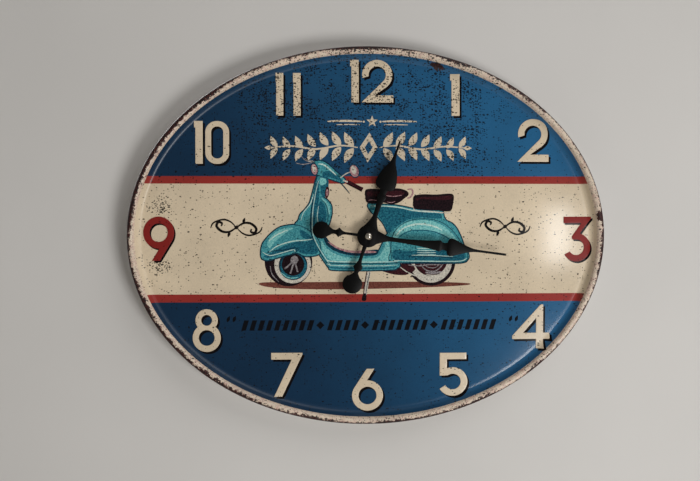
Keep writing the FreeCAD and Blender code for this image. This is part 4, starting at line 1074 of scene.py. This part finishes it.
# nickel plate over brass, domed and polished: mirrors the room with faint turning lines
polishedNickel = metalFinish("polishedNickelPlate", "#d9d2c6", "#b3ab9e", 0.2, variation=0.06)
# nickel plate on spring strip, rolled satin
springNickel = metalFinish("nickelledSpringStrip", "#bdbab4", "#989590", 0.34, (0.1, 1, 1))
# turned brass, tarnished a little
turnedBrass = metalFinish("turnedBrass", "#c9a55c", "#96763a", 0.32, (1, 4, 1))
# black steel, chemically blackened
blackedSteel = metalFinish("blackenedSteel", "#2a2a2c", "#161617", 0.42)
# electrical sheet, stamped, grey
softIron = metalFinish("stampedElectricalSheet", "#9a9a9c", "#6f6e70", 0.4, (0.2, 1, 1))
# sintered ferrite, nearly black, dull
ferrite = metalFinish("sinteredFerrite", "#3c3c40", "#232327", 0.5)
# tinned steel can of a small quartz crystal
crystalCan = metalFinish("drawnTinnedCan", "#c9c9c6", "#a5a5a2", 0.25)
# zinc-bright steel ends of the cell
cellSteel = metalFinish("brightCellSteel", "#c6c6c4", "#a2a2a0", 0.24)
# injection-moulded ABS, spark-eroded texture, black
blackAbs = mouldedFinish("mouldedBlackAbs", "#121213", "#232324", 0.48)
# acetal wheels, smooth, milky white
whitePom = mouldedFinish("mouldedWhiteAcetal", "#e6e3da", "#d2cec3", 0.34, 2.0, 0.00003, 0.1)
# acetal knob and bobbin, red
redAcetal = mouldedFinish("mouldedRedAcetal", "#8e1a17", "#a52a22", 0.36, 2.0, 0.00003, 0.12)
# nitrile washer, matt and slightly bloomed
blackRubber = mouldedFinish("mouldedNitrile", "#151515", "#2b2a29", 0.78, 1.6, 0.00008, 0.3)
# phenolic paper laminate, brown, faint fibres
laminate = mouldedFinish("phenolicLaminate", "#8a5a24", "#a2702f", 0.5, 1.2, 0.00004, 0.15)
# epoxy blob over the chip
epoxyBlack = mouldedFinish("epoxyBlob", "#0d0d0e", "#1a1a1b", 0.3, 0.6, 0.0001, 0.2)


def copperWinding():
    # enamelled copper wire wound side by side, its ridges drawn wider than the real wire so that they show;
    # the colour is painted lighter on each turn's crown and darker between turns, painted sheen and painted
    # shade
    mat, tree, shader = newMaterial("enamelledCopperWinding", 0.3, 1.0)
    place = millimetres(tree)
    turns = addNode(tree, "TexWave", {"Scale": 1.0, "Distortion": 0.6, "Detail": 2.0}, {"Vector": place},
                    wave_type="BANDS", bands_direction="Z")
    tint = addNode(tree, "Mix", {"A": hexColour("#7a2f14"), "B": hexColour("#c96f3a")},
                   {"Factor": turns.outputs["Fac"]}, data_type="RGBA")
    tree.links.new(tint.outputs["Result"], shader.inputs["Base Color"])
    bump = addNode(tree, "Bump", {"Strength": 0.6, "Distance": 0.0001}, {"Height": turns.outputs["Fac"]})
    tree.links.new(bump.outputs[0], shader.inputs["Normal"])
    return mat


def printedSleeve():
    # shrunk plastic label on the cell: black with a copper-coloured end band, glossy, no wording
    mat, tree, shader = newMaterial("shrunkSleeve", 0.24)
    place = millimetres(tree)
    along = addNode(tree, "SeparateXYZ", links={0: place}).outputs["X"]
    share = addNode(tree, "MapRange", {"From Min": -25, "From Max": 25}, {"Value": along})
    bands = addNode(tree, "ValToRGB", links={0: share.outputs[0]})
    ramp = bands.color_ramp
    ramp.interpolation = "CONSTANT"
    ramp.elements[0].color = hexColour("#101012")
    ramp.elements[1].position = 0.76
    ramp.elements[1].color = hexColour("#a8642c")
    line = ramp.elements.new(0.73)
    line.color = hexColour("#c9c4ba")
    wrinkle = addNode(tree, "TexNoise", {"Scale": 0.5, "Detail": 3.0}, {"Vector": place}).outputs["Fac"]
    scuff = addNode(tree, "MapRange", {"To Min": 0.85, "To Max": 1.1}, {"Value": wrinkle}).outputs[0]
    toned = addNode(tree, "VectorMath", links={0: bands.outputs[0], "Scale": scuff}, operation="SCALE")
    tree.links.new(toned.outputs[0], shader.inputs["Base Color"])
    bump = addNode(tree, "Bump", {"Strength": 0.15, "Distance": 0.0001}, {"Height": wrinkle})
    tree.links.new(bump.outputs[0], shader.inputs["Normal"])
    return mat


nodeFinish = {
    "hex_nut": turnedBrass, "brass_washer": turnedBrass, "mounting_bush": turnedBrass,
    "rubber_washer": blackRubber, "train_bridge": blackAbs, "stator": softIron, "coil_core": softIron,
    "coil_bobbin": redAcetal, "coil_winding": copperWinding(), "circuit_board": laminate,
    "quartz_crystal": crystalCan, "circuit_chip": epoxyBlack, "positive_contact": springNickel,
    "negative_contact": springNickel, "battery_cell": cellSteel, "battery_sleeve": printedSleeve(),
    "minute_arbor": turnedBrass, "clutch_washer": springNickel, "hour_hand_collet": blackedSteel,
    "rotor_magnet": ferrite, "setting_pinion": whitePom, "setting_knob": redAcetal, "hour_wheel": whitePom,
    "minute_wheel": whitePom, "centre_wheel": whitePom, "third_wheel": whitePom, "second_wheel": whitePom,
    "fifth_wheel": whitePom, "rotor_pinion": whitePom, "movement_case": blackAbs, "rear_cover": blackAbs,
    "minute_hand": enamel, "hour_hand": enamel, "hand_cap_nut": polishedNickel, "dial_plate": printedSheet,
}
for nodeName, obj in nodes.items():
    obj.data.materials.clear()
    obj.data.materials.append(nodeFinish[nodeName])

cap = spunPiece([(0.0, 31.28), (0.7, 31.22), (1.4, 31.0), (2.1, 30.6), (2.7, 30.0), (3.1, 29.3),
                 (3.3, 28.7),
                 (3.34, 28.32), (3.2, 28.12), (1.4, 28.12), (1.4, 30.3), (0.0, 30.3)])
finish("handCapNut", cap, polishedNickel, "minutes", ["hand_cap_nut"], 40)


def softened(name, node, material, body, width):
    bm = bmesh.new()
    bm.from_mesh(nodes[node].data)
    bmesh.ops.remove_doubles(bm, verts=bm.verts, dist=0.00001)
    bmesh.ops.dissolve_limit(bm, angle_limit=0.02, verts=bm.verts, edges=bm.edges)
    corners = [e for e in bm.edges if len(e.link_faces) == 2 and e.calc_face_angle(0) > 0.9]
    bmesh.ops.bevel(bm, geom=corners, offset=width / 1000, offset_type="OFFSET", affect="EDGES", segments=2,
                    profile=0.5, material=-1, clamp_overlap=True)
    bmesh.ops.triangulate(bm, faces=[f for f in bm.faces if len(f.verts) > 4])
    return finish(name, bm, material, body, [node], 15)


softened("movementCase", "movement_case", blackAbs, "clock", 0.3)
softened("rearCover", "rear_cover", blackAbs, "clock", 0.22)


knob = {"milledBeyond": 4.4, "teeth": 24, "toothShare": 0.035}


def settingKnob():
    # a thumb knob with milled edge and a dished face, seen through the cover's hole
    knobX, knobZ = [1000 * (a + b) / 2 for a, b in zip(*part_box("setting_knob"))][0::2]
    low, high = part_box("setting_knob")
    back, front = -1000 * high[1], -1000 * low[1]
    bm = spunPiece([(0, back + 0.5), (2.6, back + 0.45), (3.4, back + 0.12), (4.2, back),
                    (4.62, back + 0.16),
                    (4.66, back + 0.4), (4.66, back + 1.3), (4.5, back + 1.6), (1.2, back + 1.7),
                    (1.2, front), (0, front)],
                   48, (knobX, knobZ))
    for v in bm.verts:
        dx, dz = v.co.x - knobX / 1000, v.co.z - knobZ / 1000
        if math.hypot(dx, dz) > knob["milledBeyond"] / 1000:
            wave = 1 + knob["toothShare"] * math.cos(knob["teeth"] * math.atan2(dz, dx))
            v.co.x, v.co.z = knobX / 1000 + dx * wave, knobZ / 1000 + dz * wave
    finish("settingKnob", bm, redAcetal, "setting", ["setting_knob"], 30)


settingKnob()
print("movement finished")


# places in metres, light sizes in metres, powers in watts
room = {
    "wallTint": "#d0cdc9", "keyPlace": (0.74, -1.3, -0.56), "keySize": 0.62, "keyPower": 12.6,
    "glarePlace": (1.02, -2.886, -0.08), "glareSize": (0.10, 0.27), "glarePower": 1.7,
    "upperPlace": (1.2, -1.3, 1.6), "upperSize": 2.0, "upperPower": 19.0,
    "sidePlace": (-1.8, -1.4, -0.2), "sideSize": 1.6, "sidePower": 0.8, "sky": 0.2,
    "backPlace": (-0.9, 1.5, 0.9), "backSize": 1.4, "backPower": 80.0, "floorLevel": -1.6,
    "cameraPlace": (-0.060, -0.937, 0.025), "cameraTurn": (90 - 1.79, 0, -2.81), "lens": 56.57,
}


def wallPaint():
    # emulsion on plaster: nearly flat, a fine roller stipple, seen only from the room side
    mat, tree, shader = newMaterial("emulsionWall", 0.85)
    place = millimetres(tree)
    stipple = addNode(tree, "TexNoise", {"Scale": 0.45, "Detail": 4.0}, {"Vector": place}).outputs["Fac"]
    cloud = addNode(tree, "TexNoise", {"Scale": 0.004, "Detail": 3.0}, {"Vector": place}).outputs["Fac"]
    tone = addNode(tree, "MapRange", {"From Min": 0.3, "From Max": 0.7, "To Min": 0.96, "To Max": 1.03},
                   {"Value": cloud}).outputs[0]
    tint = addNode(tree, "VectorMath", {0: hexColour(room["wallTint"])[:3]}, {"Scale": tone},
                   operation="SCALE")
    tree.links.new(tint.outputs[0], shader.inputs["Base Color"])
    bump = addNode(tree, "Bump", {"Strength": 0.1, "Distance": 0.0003}, {"Height": stipple})
    tree.links.new(bump.outputs[0], shader.inputs["Normal"])
    behind = addNode(tree, "NewGeometry").outputs["Backfacing"]
    clear = addNode(tree, "BsdfTransparent").outputs[0]
    mixed = addNode(tree, "MixShader", links={0: behind, 1: shader.outputs[0], 2: clear})
    tree.links.new(mixed.outputs[0], tree.nodes["Material Output"].inputs["Surface"])
    return mat


def plane(name, corners, material):
    bm = bmesh.new()
    bm.faces.new([bm.verts.new(c) for c in corners])
    mesh = bpy.data.meshes.new(name)
    bm.to_mesh(mesh)
    bm.free()
    mesh.materials.append(material)
    obj = bpy.data.objects.new(name, mesh)
    scene.collection.objects.link(obj)
    return obj


paint = wallPaint()
low = room["floorLevel"]
wall = plane("roomWall", [(-4, 0.0005, low), (4, 0.0005, low), (4, 0.0005, 3), (-4, 0.0005, 3)], paint)
wall.visible_shadow = False
floorMat, floorTree, floorShader = newMaterial("paleFloor", 0.7)
floorTone = addNode(floorTree, "TexNoise", {"Scale": 0.01, "Detail": 3.0},
                    {"Vector": millimetres(floorTree)})
floorMix = addNode(floorTree, "Mix", {"A": hexColour("#bdb8b0"), "B": hexColour("#c9c5be")},
                   {"Factor": floorTone.outputs["Fac"]}, data_type="RGBA")
floorTree.links.new(floorMix.outputs["Result"], floorShader.inputs["Base Color"])
plane("roomFloor", [(-4, -5, low), (4, -5, low), (4, 4, low), (-4, 4, low)], floorMat)


def areaLight(name, place, target, size, power):
    data = bpy.data.lights.new(name, "AREA")
    data.energy = power
    if isinstance(size, tuple):
        data.shape = "RECTANGLE"
        data.size, data.size_y = size
    else:
        data.shape = "DISK"
        data.size = size
    obj = bpy.data.objects.new(name, data)
    obj.location = place
    obj.rotation_euler = (Vector(target) - Vector(place)).to_track_quat("-Z", "Y").to_euler()
    scene.collection.objects.link(obj)
    return obj


areaLight("softKey", room["keyPlace"], (0, 0, 0), room["keySize"], room["keyPower"])
areaLight("smallWindow", room["glarePlace"], (0.163, -0.015, 0), room["glareSize"], room["glarePower"])
areaLight("upperFill", room["upperPlace"], (0, 0, 0), room["upperSize"], room["upperPower"])
areaLight("sideFill", room["sidePlace"], (0, 0, 0), room["sideSize"], room["sidePower"])
areaLight("backFill", room["backPlace"], (0, 0, 0), room["backSize"], room["backPower"])
world = bpy.data.worlds.new("room")
world.use_nodes = True
world.node_tree.nodes["Background"].inputs["Color"].default_value = hexColour("#e8e6e2")
world.node_tree.nodes["Background"].inputs["Strength"].default_value = room["sky"]
scene.world = world

lensData = bpy.data.cameras.new("camera")
lensData.lens = room["lens"]
lensData.sensor_width = 36
camera = bpy.data.objects.new("camera", lensData)
camera.location = room["cameraPlace"]
camera.rotation_euler = [math.radians(a) for a in room["cameraTurn"]]
scene.collection.objects.link(camera)
scene.camera = camera
scene.view_settings.view_transform = "Standard"

print("scene set")
